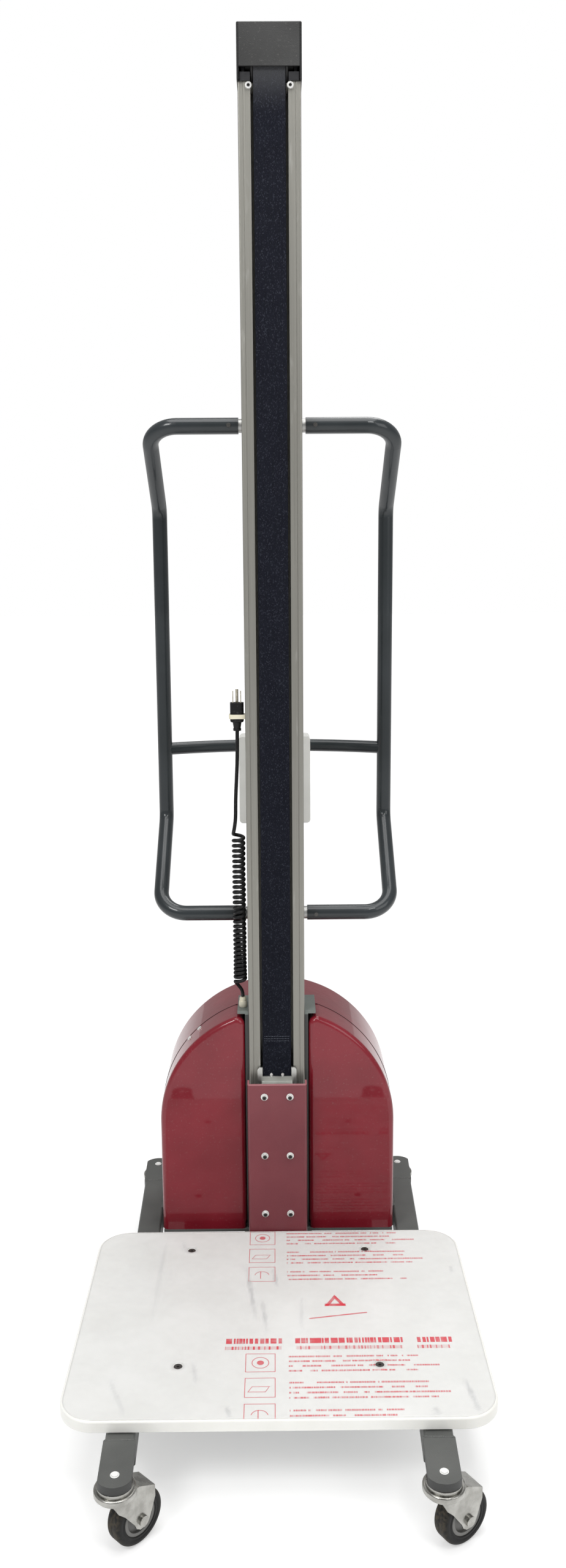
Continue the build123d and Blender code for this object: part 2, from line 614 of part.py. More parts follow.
# ---------------------------------------------------------------- carriage
COVER_SCREW_X = 21.5
COVER_SCREW_Z = (161.0, 267.0, 373.0)
COVER_LIP_Y = -9.0   # rear edge of the cover's side walls
COVER_BEND = 5.0
CARRIAGE_T = 5.0
RIB_X = (18.0, 23.0)
RIB_BACK = 42.0
ROLLER_W = 14.0
ROLLER_AXLE_R = 6.0
HUB_R = 9.0
M6_R = 3.0
M6_HOLE_R = 3.1
ROLLER_Z = {"upper_rollers": 350.0, "lower_rollers": 150.0}
cover_x = COVER_PLATE_W / 2
plate_back = COVER_PLATE_Y + COVER_PLATE_T
red = block((-cover_x, cover_x), (COVER_PLATE_Y, COVER_LIP_Y), (COVER_PLATE_LOW, COVER_PLATE_TOP))
red = fillet(red.edges().filter_by(Axis.Z).sort_by(Axis.Y)[:2], COVER_BEND)
hollow_x = cover_x - COVER_PLATE_T
channel = block((-hollow_x, hollow_x), (plate_back, 0), (0, COVER_PLATE_TOP + CUT))
channel = fillet(channel.edges().filter_by(Axis.Z).sort_by(Axis.Y)[:2], COVER_BEND - COVER_PLATE_T)
red -= channel
carriage_x = hollow_x - 2.5
carriage_z = (CARRIAGE_LOW, CARRIAGE_TOP)
frame = block((-carriage_x, carriage_x), (plate_back, plate_back + CARRIAGE_T), carriage_z)
for side in (-1, 1):
    a, b = sorted((side * RIB_X[0], side * RIB_X[1]))
    frame += block((a, b), (plate_back, RIB_BACK), carriage_z)
roller_out = inner_x - 2
roller_in = roller_out - ROLLER_W
for name, z in ROLLER_Z.items():
    frame -= rod_x(ROLLER_AXLE_R + RUN, -roller_in, roller_in, ROLLER_Y, z)
    pair = rod_x(ROLLER_AXLE_R, -roller_out, roller_out, ROLLER_Y, z)
    for side in (-1, 1):
        pair += rod_x(ROLLER_R, side * roller_in, side * roller_out, ROLLER_Y, z)
        pair += rod_x(HUB_R, side * (RIB_X[1] + 0.5), side * roller_in, ROLLER_Y, z)
    add(name, pair)
for x in (-COVER_SCREW_X, COVER_SCREW_X):
    for z in COVER_SCREW_Z:
        red -= rod_y(M6_HOLE_R, COVER_PLATE_Y - CUT, plate_back + CUT, x, z)
        frame -= rod_y(M6_HOLE_R, plate_back - CUT, plate_back + 14, x, z)
add("carriage_cover", red)
add("carriage_frame", frame)

EAR_X = 33.0
EAR_Y = (-6.0, -2.0)
EAR_TOP = 415.5
NOTCH_LOW = 399.5
CLAMP_BACK = 9.0
bar_x = STRAP_W / 2 + 2
clamp = block((-bar_x, bar_x), (-20, CLAMP_BACK), (CARRIAGE_TOP, CARRIAGE_TOP + 5))
clamp += block((-bar_x, bar_x), (front_y + STRAP_T + 0.6, CLAMP_BACK), (CARRIAGE_TOP, CARRIAGE_TOP + 26))
ears = block((-EAR_X, EAR_X), EAR_Y, (CARRIAGE_TOP, EAR_TOP))
ears = fillet(ears.edges().filter_by(Axis.Y).sort_by(Axis.Z)[-2:], 5)
notch_x = STRAP_W / 2 + 0.6
ears -= block((-notch_x, notch_x), (EAR_Y[0] - CUT, EAR_Y[1] + CUT), (NOTCH_LOW, EAR_TOP + CUT))
add("strap_clamp", clamp + ears)

WASHER_T = 1.2
HEAD_T = 4.0
HEX_R = 2.3
bolts = []
washer_y = COVER_PLATE_Y - WASHER_T
for x in (-COVER_SCREW_X, COVER_SCREW_X):
    for z in COVER_SCREW_Z:
        bolt = rod_y(2 * M6_R, washer_y, COVER_PLATE_Y, x, z)
        cap = rod_y(4.2, washer_y - HEAD_T, washer_y + 0.2, x, z)
        cap = fillet(cap.faces().sort_by(Axis.Y)[0].edges(), 0.8)
        hexagon = Pos(x, washer_y - 1.6, z) * Rot(90, 0, 0) * extrude(RegularPolygon(HEX_R, 6), 3)
        stem = rod_y(M6_R, COVER_PLATE_Y - CUT, plate_back + 12, x, z)
        bolts.append(bolt + cap - hexagon + stem)
for side in (-1, 1):
    bolts.append(rod_z(4, CARRIAGE_TOP, CARRIAGE_TOP + 4.5, side * 36, plate_back + 4.5))
    bolts.append(rod_y(2.5, -4.6, -1.8, side * 9.5, 402.0))

# platform: tray under the board, board, film
SCREW_X = 143.7
SCREW_Y = (-89.0, -387.3)
TRAY_X = 165.0
TRAY_Y = (-440.0, -36.0)
TRAY_T = 5.0
RIB_W = 24.0
RIB_H = 17.0
FILM_IN = 3.0        # film edge in from the board's edge
SINK_R = 6.8
board_front = BOARD_BACK - BOARD_D
board_low = BOARD_TOP - BOARD_T
tray_low = board_low - TRAY_T
rib_low = tray_low - RIB_H
tray = block((-TRAY_X, TRAY_X), TRAY_Y, (tray_low, board_low))
for x in (-SCREW_X, 0, SCREW_X):
    tray += block((x - RIB_W / 2, x + RIB_W / 2), TRAY_Y, (rib_low, tray_low))
tray += block((-TRAY_X, TRAY_X), (TRAY_Y[1], COVER_PLATE_Y), (COVER_PLATE_LOW, board_low))
board = block((-BOARD_W / 2, BOARD_W / 2), (board_front, BOARD_BACK), (board_low, BOARD_TOP))
board = fillet(board.edges().filter_by(Axis.Z), BOARD_CORNER)
board = fillet(board.faces().sort_by(Axis.Z)[-1].edges(), 2.5)
film = block((FILM_IN - BOARD_W / 2, BOARD_W / 2 - FILM_IN),
             (board_front + FILM_IN, BOARD_BACK - FILM_IN), (BOARD_TOP, BOARD_TOP + FILM_T))
film = fillet(film.edges().filter_by(Axis.Z), BOARD_CORNER - FILM_IN)
for x in (-SCREW_X, SCREW_X):
    for y in SCREW_Y:
        tray -= rod_z(M6_HOLE_R, rib_low + 5, board_low + CUT, x, y)
        board -= rod_z(M6_HOLE_R + 0.2, board_low - CUT, BOARD_TOP + CUT, x, y)
        board -= Pos(x, y, BOARD_TOP - 1.75) * Cone(M6_HOLE_R + 0.2, SINK_R, 3.5)
        film -= rod_z(SINK_R + 0.2, BOARD_TOP - CUT, BOARD_TOP + CUT, x, y)
        screw = Pos(x, y, BOARD_TOP - 2.0) * Cone(M6_R, SINK_R - 0.5, 3.3)
        screw += rod_z(M6_R, board_low - 12, BOARD_TOP - 3, x, y)
        screw -= Pos(x, y, BOARD_TOP - 2.6) * extrude(RegularPolygon(HEX_R, 6), 4)
        bolts.append(screw)
add("carriage_screws", group(*bolts))
add("platform_tray", tray)
add("platform_board", board)
add("platform_film", film)

# ---------------------------------------------------------------- casters
CHEEK_TOP = 89.0
WELL_TOP = 85.8      # underside of the fork's top sheet
RING_R = 28.0
RING_TOP = CASTER_TOP - 5.0
DISH_R = (10.0, 20.0)
DISH_DEEP = 4.0
PEDAL_X = 42.0
PEDAL_Z = 62.0
PEDAL_PIN_R = 3.0


def side_profile():
    """Fork cheek in (trail, height)."""
    top = [(-17, CHEEK_TOP - 5), (-17, CHEEK_TOP), (20, CHEEK_TOP), (27, CHEEK_TOP - 1), (52, 76), (52, 60)]
    boss = [(13, -1.5), (10, -7.5), (4, -12), (-4, -12), (-10, -7.5), (-13, -0.5)]
    boss = [(TRAIL + x, WHEEL_R + z) for x, z in boss]
    return make_face(Polyline(*top, *boss, (2, 58), (-8, 68), close=True))


def wheel():
    """Rim and tyre, with the axle along Y."""
    rim = rod_y(RIM_R, 1 - TYRE_W / 2, TYRE_W / 2 - 1, TRAIL, WHEEL_R)
    for way in (-1, 1):
        face = way * (TYRE_W / 2 - 1)
        floor = face - way * DISH_DEEP
        rim -= rod_y(DISH_R[1], face, floor, TRAIL, WHEEL_R) - rod_y(DISH_R[0], face, floor, TRAIL, WHEEL_R)
        rim += rod_y(2 * AXLE_R, face, way * (FORK_GAP / 2 - GAP), TRAIL, WHEEL_R)
    rim -= rod_y(AXLE_R + RUN, -TYRE_W, TYRE_W, TRAIL, WHEEL_R)
    tyre = rod_y(WHEEL_R, -TYRE_W / 2, TYRE_W / 2, TRAIL, WHEEL_R)
    tyre = fillet(tyre.edges().filter_by(GeomType.CIRCLE), 5)
    tyre -= rod_y(RIM_R, -TYRE_W, TYRE_W, TRAIL, WHEEL_R)
    return rim, tyre


def brake_pedal(wide):
    """Two arms outside the fork and a tread across their ends."""
    outline = Polyline((37, 57), (37, 67), (48, 67.5), (78, 66), (78, 60), (48, 57), close=True)
    arm = slab_y(make_face(outline), wide + GAP, wide + FORK_T)
    arm -= rod_y(PEDAL_PIN_R + RUN, -2 * wide, 2 * wide, PEDAL_X, PEDAL_Z)
    tread = block((67, 80), (-wide - FORK_T, wide + FORK_T), (61, 65.5))
    return arm + mirror(arm, Plane.XZ) + tread


def caster(lock):
    """Fork, rim, tyre, top and pedal of a caster trailing along +X, kingpin on the Z axis."""
    wide = FORK_GAP / 2 + FORK_T
    body = slab_y(side_profile(), -wide, wide)
    well = Polyline((-30, 0), (-30, WELL_TOP), (20, WELL_TOP), (26, 85), (49.5, 73.8), (70, 64), (70, 0),
                    close=True)
    body -= slab_y(make_face(well), -FORK_GAP / 2, FORK_GAP / 2)
    ring = rod_z(RING_R, RACE_LOW, RING_TOP) + rod_z(RING_R - 2.5, RACE_LOW - 3, RACE_LOW + 0.5)
    ring = fillet(ring.edges().filter_by(GeomType.CIRCLE).group_by(Axis.Z)[-1], 2.5)
    fork = body + ring
    fork -= rod_z(KINGPIN_R + RUN, 60, LEG_TOP)
    fork -= rod_z(11, 60, RACE_LOW - 3.1)
    axle_bar = rod_y(AXLE_R, -wide - 1, wide + 1, TRAIL, WHEEL_R)
    for way in (-1, 1):
        axle_bar += rod_y(AXLE_R + 3, way * wide, way * (wide + 4), TRAIL, WHEEL_R)
        if lock:
            axle_bar += rod_y(PEDAL_PIN_R, way * (wide - 1), way * (wide + 3), PEDAL_X, PEDAL_Z)
    fork += axle_bar
    rim, tyre = wheel()
    pin = rod_z(KINGPIN_R, 79, LEG_TOP) + rod_z(10, 80.4, 84.1)
    pin += rod_z(24, RING_TOP + GAP, CASTER_TOP) + rod_z(4.6, LEG_TOP, LEG_TOP + 1.2)
    found = {"fork": fork, "rim": rim, "tyre": tyre, "top": pin}
    if lock:
        found["pedal"] = brake_pedal(wide)
    return found


CASTERS = {"front_left": (-1, PIVOT_FRONT, 46.0, False), "front_right": (1, PIVOT_FRONT, 34.0, False),
           "rear_left": (-1, PIVOT_REAR, 90.0, True), "rear_right": (1, PIVOT_REAR, 90.0, True)}
tops = []
for name, (side, along, heading, lock) in CASTERS.items():
    x, y = leg_point(along)
    place = Pos(side * x, y, 0) * Rot(0, 0, heading)
    made = caster(lock)
    tops.append(place * made["top"])
    for piece in ("fork", "rim", "tyre", "pedal"):
        if piece in made:
            add(f"{name}_{piece}", place * made[piece])
    print("caster", name, "pivot", round(side * x, 3), round(y, 3), "heading", heading)
add("caster_tops", group(*tops))

# ---------------------------------------------------------------- origin and export
CORD = ("cord_tail", "cord_curl", "cord_lead", "plug_body", "plug_prongs")
boxes = [shape.bounding_box() for name, shape in parts.items() if name not in CORD]
x_mid = (min(b.min.X for b in boxes) + max(b.max.X for b in boxes)) / 2
y_mid = (min(b.min.Y for b in boxes) + max(b.max.Y for b in boxes)) / 2
z_low = min(b.min.Z for b in boxes)
print("footprint middle", round(x_mid, 4), round(y_mid, 4), "lowest", round(z_low, 4))
print("drum", round(DRUM_Y, 3), "strap front", round(front_y, 3), "back", round(back_y, 3))

for name, shape in parts.items():
    solids = shape.solids()
    moved = [Pos(-x_mid, -y_mid, 0) * s for s in solids]
    result = moved[0] if len(moved) == 1 else Compound(children=moved)
    export_step(result, f"parts/{name}.step")
    print(f"{name:22s} solids {len(solids):2d} volume {sum(s.volume for s in solids) / 1000:10.1f} cm3")
print(len(parts), "nodes")
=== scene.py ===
# %% [markdown]
# # Straddle mini stacker
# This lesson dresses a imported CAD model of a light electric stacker: a tall aluminium mast, a woven
# lifting strap, a white platform, two crimson covers, straddle legs on casters and a curly cord.
# The CAD model already has every real size, so it is loaded first and never moved. New pieces are
# made only where CAD is too plain: the cord, the webbing, the film, the tyres and the welds.

# %% Load the frame
import json
from math import cos, exp, hypot, pi, radians, sin

import bmesh
import bpy
from mathutils import Matrix, Vector, noise


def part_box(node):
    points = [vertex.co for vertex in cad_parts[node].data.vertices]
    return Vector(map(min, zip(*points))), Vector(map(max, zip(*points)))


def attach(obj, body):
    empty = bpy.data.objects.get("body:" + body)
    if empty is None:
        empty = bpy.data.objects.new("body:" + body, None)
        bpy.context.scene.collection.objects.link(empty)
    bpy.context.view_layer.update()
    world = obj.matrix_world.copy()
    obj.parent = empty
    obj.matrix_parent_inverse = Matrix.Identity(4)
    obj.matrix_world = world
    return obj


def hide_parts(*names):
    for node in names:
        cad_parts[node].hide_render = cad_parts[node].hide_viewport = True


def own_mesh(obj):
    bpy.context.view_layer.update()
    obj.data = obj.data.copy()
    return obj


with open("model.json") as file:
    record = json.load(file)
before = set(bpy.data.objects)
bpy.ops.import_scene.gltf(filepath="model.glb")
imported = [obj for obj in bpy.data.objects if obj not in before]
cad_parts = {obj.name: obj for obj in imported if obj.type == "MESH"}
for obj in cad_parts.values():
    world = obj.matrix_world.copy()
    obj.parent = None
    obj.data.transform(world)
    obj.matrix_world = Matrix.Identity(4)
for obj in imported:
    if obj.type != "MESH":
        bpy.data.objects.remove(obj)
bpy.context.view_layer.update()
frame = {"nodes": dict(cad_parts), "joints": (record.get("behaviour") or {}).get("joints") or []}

# %% [markdown]
# ## The camera
# The truck was seen from standing height, a little under two metres in front of the mast, looking
# ten degrees down. A camera can be aimed with a constraint, but a matrix made from its three own
# directions also holds the small roll, so that is used here.

# %% Camera
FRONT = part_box("mast")[0].y  # the mast's front face
STAND_OFF = 1.950            # from the mast's front face to the eye
EYE_X = 0.0022
EYE_Z = 1.250
PITCH = radians(10.13)
YAW = radians(0.33)
ROLL = radians(-0.38)
LENS = 27.98                 # millimetres, on a sensor 36 mm along the frame's long side


def aimed(eye, pitch, yaw, roll):
    """Matrix of a camera at eye that looks along +Y, turned by yaw, pitched down and rolled."""
    ahead = Vector((sin(yaw) * cos(pitch), cos(yaw) * cos(pitch), -sin(pitch)))
    across = Vector((cos(yaw), -sin(yaw), 0.0))
    up = across.cross(ahead)
    right = across * cos(roll) + up * sin(roll)
    top = up * cos(roll) - across * sin(roll)
    turn = Matrix((right, top, -ahead)).transposed()
    return Matrix.Translation(eye) @ turn.to_4x4()


lens = bpy.data.cameras.new("studio_camera")
lens.sensor_width = 36.0
lens.lens = LENS
lens.clip_end = 100.0
camera = bpy.data.objects.new("studio_camera", lens)
bpy.context.scene.collection.objects.link(camera)
camera.matrix_world = aimed(Vector((EYE_X, FRONT - STAND_OFF, EYE_Z)), PITCH, YAW, ROLL)
bpy.context.scene.camera = camera
print("camera at", [round(c, 3) for c in camera.matrix_world.translation])

# %% [markdown]
# ## The charging cord
# A curly cord is one long flexible cable that was wound on a rod and heat set. It could be a mesh
# tube swept along a helix, but a curve keeps one smooth centreline, so the whole cord is one NURBS
# spline: up out of the gland, round the coil, and on to the plug that is clipped to the mast.
# The loop works out the turns, and the lowest ones hang a little looser, as such cords do.

# %% Cord
CORD_D = 0.006
COIL_X = -0.0605
COIL_Y = 0.0140              # from the mast's front face, as are all the route's depths
COIL_R = 0.0085              # centreline of a turn
COIL_LOW = 0.5620
COIL_HIGH = 0.8160
TURNS = 31
TURN_POINTS = 14
END_RISE = 0.0008            # extra rise of a step at each end of the coil
END_STEPS = 2.5              # how many steps it takes to fade
PITCH_LOW = 0.0064
PITCH_HIGH = 0.0088
PITCH_RISE = 1.6             # the pitch is at its widest once the coil is 1 / 1.6 of its way up
SLACK_TURNS = 2.5            # lowest turns that hang loose
SLACK_WIDTH = 0.04
SLACK_TILT = 0.0014
SLACK_AIM = 0.6              # angle towards which they tilt
DRIFT_WIDTH = 0.02           # slow change of a turn's width along the coil
DRIFT_RATE = 0.7
TAIL = [(-0.0570, 0.0280, 0.5304), (-0.0570, 0.0280, 0.5404), (-0.0640, 0.0250, 0.5510),
        (-0.0690, 0.0200, 0.5590)]
LEAD = [(-0.0685, 0.0085, 0.8190), (-0.0665, 0.0080, 0.8290), (-0.0645, 0.0110, 0.8440),
        (-0.0645, 0.0140, 0.8760), (-0.0605, 0.0200, 0.9400), (-0.0605, 0.0200, 0.9870)]


def ease(step):
    """How strongly the cord still runs straight up, so many steps from an end of the coil."""
    return exp(-step / END_STEPS)


def coil_turns():
    """Points of the coil, which winds out of the tail and back in to the lead."""
    count = TURNS * TURN_POINTS
    spread = PITCH_HIGH - PITCH_LOW
    pitches = [PITCH_LOW + spread * min(1.0, PITCH_RISE * n / count) for n in range(count)]
    straight = [END_RISE * (ease(n) + ease(count - 1 - n)) for n in range(count)]
    share = (COIL_HIGH - COIL_LOW - sum(straight)) / sum(pitches)
    points = []
    z = COIL_LOW
    for step in range(count + 1):
        angle = pi + 2 * pi * step / TURN_POINTS
        begun = min(1.0, 2 * step / TURN_POINTS)
        slack = max(0.0, 1.0 - step / (SLACK_TURNS * TURN_POINTS))
        r = COIL_R * (1.0 + SLACK_WIDTH * slack + DRIFT_WIDTH * sin(DRIFT_RATE * step / TURN_POINTS))
        tilt = SLACK_TILT * slack * begun * sin(angle + SLACK_AIM)
        points.append((COIL_X + r * cos(angle), COIL_Y + r * sin(angle), z + tilt))
        if step < count:
            z += pitches[step] * share + straight[step]
    return points


def spline_curve(name, places, diameter):
    """One NURBS spline with a round section."""
    curve = bpy.data.curves.new(name, "CURVE")
    curve.dimensions = "3D"
    curve.resolution_u = 3
    curve.bevel_depth = diameter / 2
    curve.bevel_resolution = 4
    curve.use_fill_caps = True
    spline = curve.splines.new("NURBS")
    spline.points.add(len(places) - 1)
    for point, place in zip(spline.points, places):
        point.co = (*place, 1.0)
    spline.order_u = 3
    spline.use_endpoint_u = True
    made = bpy.data.objects.new(name, curve)
    bpy.context.scene.collection.objects.link(made)
    return made


turns = coil_turns()
route = [(x, FRONT + y, z) for x, y, z in TAIL + turns + LEAD]
cord = spline_curve("charging_cord", route, CORD_D)
run = sum((Vector(b) - Vector(a)).length for a, b in zip(route, route[1:]))
print("cord turns", TURNS, "control line", round(run, 3), "m")

# %% [markdown]
# ## Writing node trees as arithmetic
# A material is a formula over the surface, and so is easier to read as one than as a heap of links.
# `Value` wraps one output socket and turns + - * / into Math nodes. `Graph.node` adds any other
# node: its type, its settings, then the values or links of its sockets.

# %% Node kit
class Value:
    """The output of one node, which arithmetic turns into more nodes."""

    def __init__(self, graph, socket):
        self.graph = graph
        self.socket = socket

    def maths(self, operation, a, b=0.0):
        return self.graph.node("ShaderNodeMath", {"operation": operation}, {0: a, 1: b})

    def __add__(self, other):
        return self.maths("ADD", self, other)

    __radd__ = __add__

    def __sub__(self, other):
        return self.maths("SUBTRACT", self, other)

    def __rsub__(self, other):
        return self.maths("SUBTRACT", other, self)

    def __mul__(self, other):
        return self.maths("MULTIPLY", self, other)

    __rmul__ = __mul__

    def __truediv__(self, other):
        return self.maths("DIVIDE", self, other)

    def __mod__(self, other):
        return self.maths("FLOORED_MODULO", self, other)

    def __lt__(self, other):
        return self.maths("LESS_THAN", self, other)

    def __gt__(self, other):
        return self.maths("GREATER_THAN", self, other)

    def __abs__(self):
        return self.maths("ABSOLUTE", self)

    def floor(self):
        return self.maths("FLOOR", self)

    def larger(self, other):
        return self.maths("MAXIMUM", self, other)


class Graph:
    """A node tree with one method that adds any node."""

    def __init__(self, tree):
        self.tree = tree

    def node(self, kind, settings=None, sockets=None, out=0):
        made = self.tree.nodes.new(kind)
        for name, setting in (settings or {}).items():
            setattr(made, name, setting)
        for name, given in (sockets or {}).items():
            if isinstance(given, Value):
                self.tree.links.new(given.socket, made.inputs[name])
            else:
                made.inputs[name].default_value = given
        return Value(self, made.outputs[out]) if len(made.outputs) else None


finishes = {}


class Finish(Graph):
    """A material, with the few patterns that every finish is made from."""

    def __init__(self, name):
        self.name = name
        self.material = bpy.data.materials.new(name)
        self.material.use_nodes = True
        super().__init__(self.material.node_tree)
        self.tree.nodes.clear()
        self.place = self.node("ShaderNodeTexCoord", out="Object")
        self.facing = self.node("ShaderNodeNewGeometry", out="Normal")

    def split(self, vector):
        """The three parts of a vector."""
        apart = self.node("ShaderNodeSeparateXYZ", {}, {0: vector})
        return [Value(self, socket) for socket in apart.socket.node.outputs]

    def distance(self, across, along):
        """How far a place is from the origin of these two coordinates."""
        return self.node("ShaderNodeMath", {"operation": "SQRT"}, {0: across * across + along * along})

    def cloud(self, per_metre, detail=2.0, stretch=(1.0, 1.0, 1.0), shift=0.0):
        """Soft random shade, about 0.3 to 0.7, with so many patches in a metre."""
        moved = self.node("ShaderNodeMapping", {}, {"Vector": self.place, "Location": (shift,) * 3,
                                                    "Scale": stretch})
        return self.node("ShaderNodeTexNoise", {}, {"Vector": moved, "Scale": per_metre, "Detail": detail})

    def between(self, value, low, high):
        """0 below low, 1 above high and a ramp between them."""
        return self.node("ShaderNodeMapRange", {}, {"Value": value, "From Min": low, "From Max": high})

    def mix(self, share, first, second):
        """From the first colour at 0 to the second at 1."""
        return self.node("ShaderNodeMix", {"data_type": "RGBA"}, {0: share, 6: first, 7: second}, out=2)

    def rounded(self, radius):
        """The normal with every sharp edge broken by a small radius."""
        return self.node("ShaderNodeBevel", {"samples": 4}, {"Radius": radius})

    def edges(self, soft):
        """1 where an edge is near, 0 on open faces."""
        dot = self.node("ShaderNodeVectorMath", {"operation": "DOT_PRODUCT"}, {0: soft, 1: self.facing},
                        out="Value")
        return self.between(1 - dot, 0.02, 0.16)

    def bump(self, height, distance, normal=None):
        sockets = {"Height": height, "Distance": distance, "Strength": 1.0}
        if normal is not None:
            sockets["Normal"] = normal
        return self.node("ShaderNodeBump", {}, sockets)

    def shade(self, **sockets):
        """Close the material with one shader and list it; names use _ for a space."""
        named = {name.replace("_", " "): given for name, given in sockets.items()}
        shader = self.node("ShaderNodeBsdfPrincipled", {}, named)
        self.node("ShaderNodeOutputMaterial", {}, {"Surface": shader})
        finishes[self.name] = self.material


print("node kit ready")

# %% [markdown]
# ## Powder coat and paint
# Powder coat melts into a fine pebbled skin that is thinner on corners, so steel greys through
# there first. One function makes every such skin: a slow drift of shade, a pebble bump, edges
# broken by the Bevel node, and a worn colour where that node finds an edge.

# %% Painted skins
# near black used for painted shade on the end plates' rims and the holder's cheeks
SHADE_BLACK = (0.010, 0.010, 0.010, 1)
PAINT_EDGE = 0.0008          # radius that paint gives to a sharp edge
PLATE_BACK = 0.5140          # ahead of this depth there are only the front end plates
# below this height the holder's cheeks are painted black as painted shade
CHEEK_TOP = 0.5060
# between these heights the carriage cover's cut top edge carries a painted highlight
RIM_LOW = 0.3925             # the carriage cover's cut top edge
RIM_HIGH = 0.3940


def painted(name, dark, light, worn, rough, pebble, depth, coat=0.0, metal=0.0, clear=0.10, shine=0.5,
            marks=None):
    """Painted or powder coated metal; pebble is grains per metre and depth their height.
    shine is its specular level, and marks gives a mask and the colour that goes there; on these skins that
    is painted shade or a painted highlight."""
    f = Finish(name)
    soft = f.rounded(PAINT_EDGE)
    drift = f.between(f.cloud(9.0, 3.0), 0.35, 0.65)
    shade = f.mix(drift, (*dark, 1), (*light, 1))
    chips = f.edges(soft) * f.between(f.cloud(140.0, 3.0, shift=3.1), 0.44, 0.60)
    shade = f.mix(chips * 0.55, shade, (*worn, 1))
    if marks:
        mask, colour = marks(f)
        shade = f.mix(mask, shade, colour)
    skin = f.cloud(pebble, 2.0)
    normal = f.bump(skin, depth, soft)
    gloss = rough + 0.10 * f.cloud(35.0, 3.0, shift=7.0) - 0.05
    f.shade(Base_Color=shade, Roughness=gloss, Normal=normal, Coat_Weight=coat, Coat_Roughness=clear,
            Metallic=metal, Specular_IOR_Level=shine)


def plate_edge_shade(f):
    """The thick rims of the front end plates, painted black as painted shade beside their bright tops."""
    depth = f.split(f.place)[1]
    level = f.between(f.split(f.facing)[2], 0.30, 0.85)
    return (1 - level) * (depth < FRONT - PLATE_BACK) * 0.75, SHADE_BLACK


def cheek_shade(f):
    """The holder's cheeks below its top plate, painted black as painted shade in the narrow gap beside the
    mast.
    """
    return (f.split(f.place)[2] < CHEEK_TOP) * 0.85, SHADE_BLACK


def rim_highlight(f):
    """The carriage cover's cut top edge, painted pale pink as a painted highlight where it catches the
    light.
    """
    return f.between(f.split(f.place)[2], RIM_LOW, RIM_HIGH) * 0.6, (0.52, 0.22, 0.24, 1)


painted("leg_paint", (0.070, 0.073, 0.069), (0.098, 0.101, 0.095), (0.26, 0.26, 0.24), 0.50, 700.0, 0.0003,
        marks=plate_edge_shade)
painted("holder_paint", (0.105, 0.121, 0.110), (0.140, 0.158, 0.145), (0.34, 0.34, 0.32), 0.42, 500.0,
        0.0002, marks=cheek_shade)
painted("handle_paint", (0.014, 0.018, 0.020), (0.023, 0.028, 0.031), (0.14, 0.14, 0.135), 0.30, 160.0,
        0.00006, coat=0.42, clear=0.03, shine=0.25)
painted("crimson_paint", (0.140, 0.018, 0.027), (0.172, 0.026, 0.036), (0.45, 0.20, 0.22), 0.36, 420.0,
        0.0002, coat=0.15, marks=rim_highlight)
painted("pedal_paint", (0.018, 0.018, 0.018), (0.030, 0.030, 0.030), (0.30, 0.29, 0.27), 0.45, 500.0, 0.0002)
painted("motor_casting", (0.20, 0.20, 0.20), (0.28, 0.28, 0.27), (0.45, 0.45, 0.44), 0.50, 300.0, 0.0004,
        metal=0.5)
painted("box_aluminium", (0.42, 0.42, 0.41), (0.50, 0.50, 0.49), (0.70, 0.70, 0.69), 0.38, 600.0, 0.0001,
        metal=0.8)
print("painted skins", sorted(finishes))

# %% [markdown]
# ## Drawn and plated metal
# The mast was pushed through a die, which leaves fine straight lines along its length, and was then
# anodised to a warm satin grey. Zinc plate shows pale mottled patches instead. Both are one noise
# texture: stretched along the mast for the drawn lines, and left round for the plating.

# %% Metals
HEAD_X = 0.0215              # carriage cover screws: across, lowest, apart, head radius, highest, front
HEAD_LOW = 0.161
HEAD_PITCH = 0.106
HEAD_R = 0.0036
HEAD_HIGH = 0.40
HEAD_FRONT = 0.0293
TOP_HEAD_X = 0.0310          # recesses of the two screws at the mast's top
TOP_HEAD_Z = 1.9475
TOP_HEAD_R = 0.0024
HANDLES_LOW = 0.60           # only the handles' screws lie between these two heights
HANDLES_HIGH = 1.90
BOARD_SCREW_TOP = 0.1400
KINGPIN_END = 0.1116
TOP_FORK_LOW = 1.90
METALS = ("mast_aluminium", "fork_zinc", "clamp_zinc", "screw_zinc", "bare_steel", "prong_brass")


def drawn_aluminium():
    f = Finish("mast_aluminium")
    soft = f.rounded(0.0010)
    lines = f.cloud(1.0, 4.0, stretch=(1100.0, 1100.0, 5.0))
    bands = f.cloud(1.0, 2.0, stretch=(60.0, 60.0, 0.8), shift=2.0)
    tone = f.between(0.5 * lines + 0.5 * bands, 0.36, 0.64)
    shade = f.mix(tone, (0.240, 0.234, 0.210, 1), (0.288, 0.282, 0.254, 1))
    rubbed_and_highlight = f.between(f.cloud(1.0, 3.0, stretch=(90.0, 90.0, 14.0), shift=5.0), 0.62, 0.72)
    shade = f.mix(rubbed_and_highlight * 0.35, shade, (0.46, 0.45, 0.42, 1))
    f.shade(Base_Color=shade, Metallic=0.72, Roughness=0.36 + 0.12 * lines,
            Normal=f.bump(lines, 0.00012, soft))


def plated(name, dark, light, rough, patches, metal=1.0, marks=None):
    """Mottled plated metal, patches to a metre; marks gives a mask and the colour that goes there, at the
    screws partly painted shade.
    """
    f = Finish(name)
    soft = f.rounded(0.0005)
    mottle = f.between(f.cloud(patches, 4.0), 0.34, 0.66)
    shade = f.mix(mottle, (*dark, 1), (*light, 1))
    shine = metal
    if marks:
        mask, colour = marks(f)
        shade = f.mix(mask, shade, colour)
        shine = metal * (1 - mask)
    fine = f.cloud(900.0, 2.0, shift=4.0)
    f.shade(Base_Color=shade, Metallic=shine, Roughness=rough + 0.16 * mottle,
            Normal=f.bump(fine, 0.00006, soft))


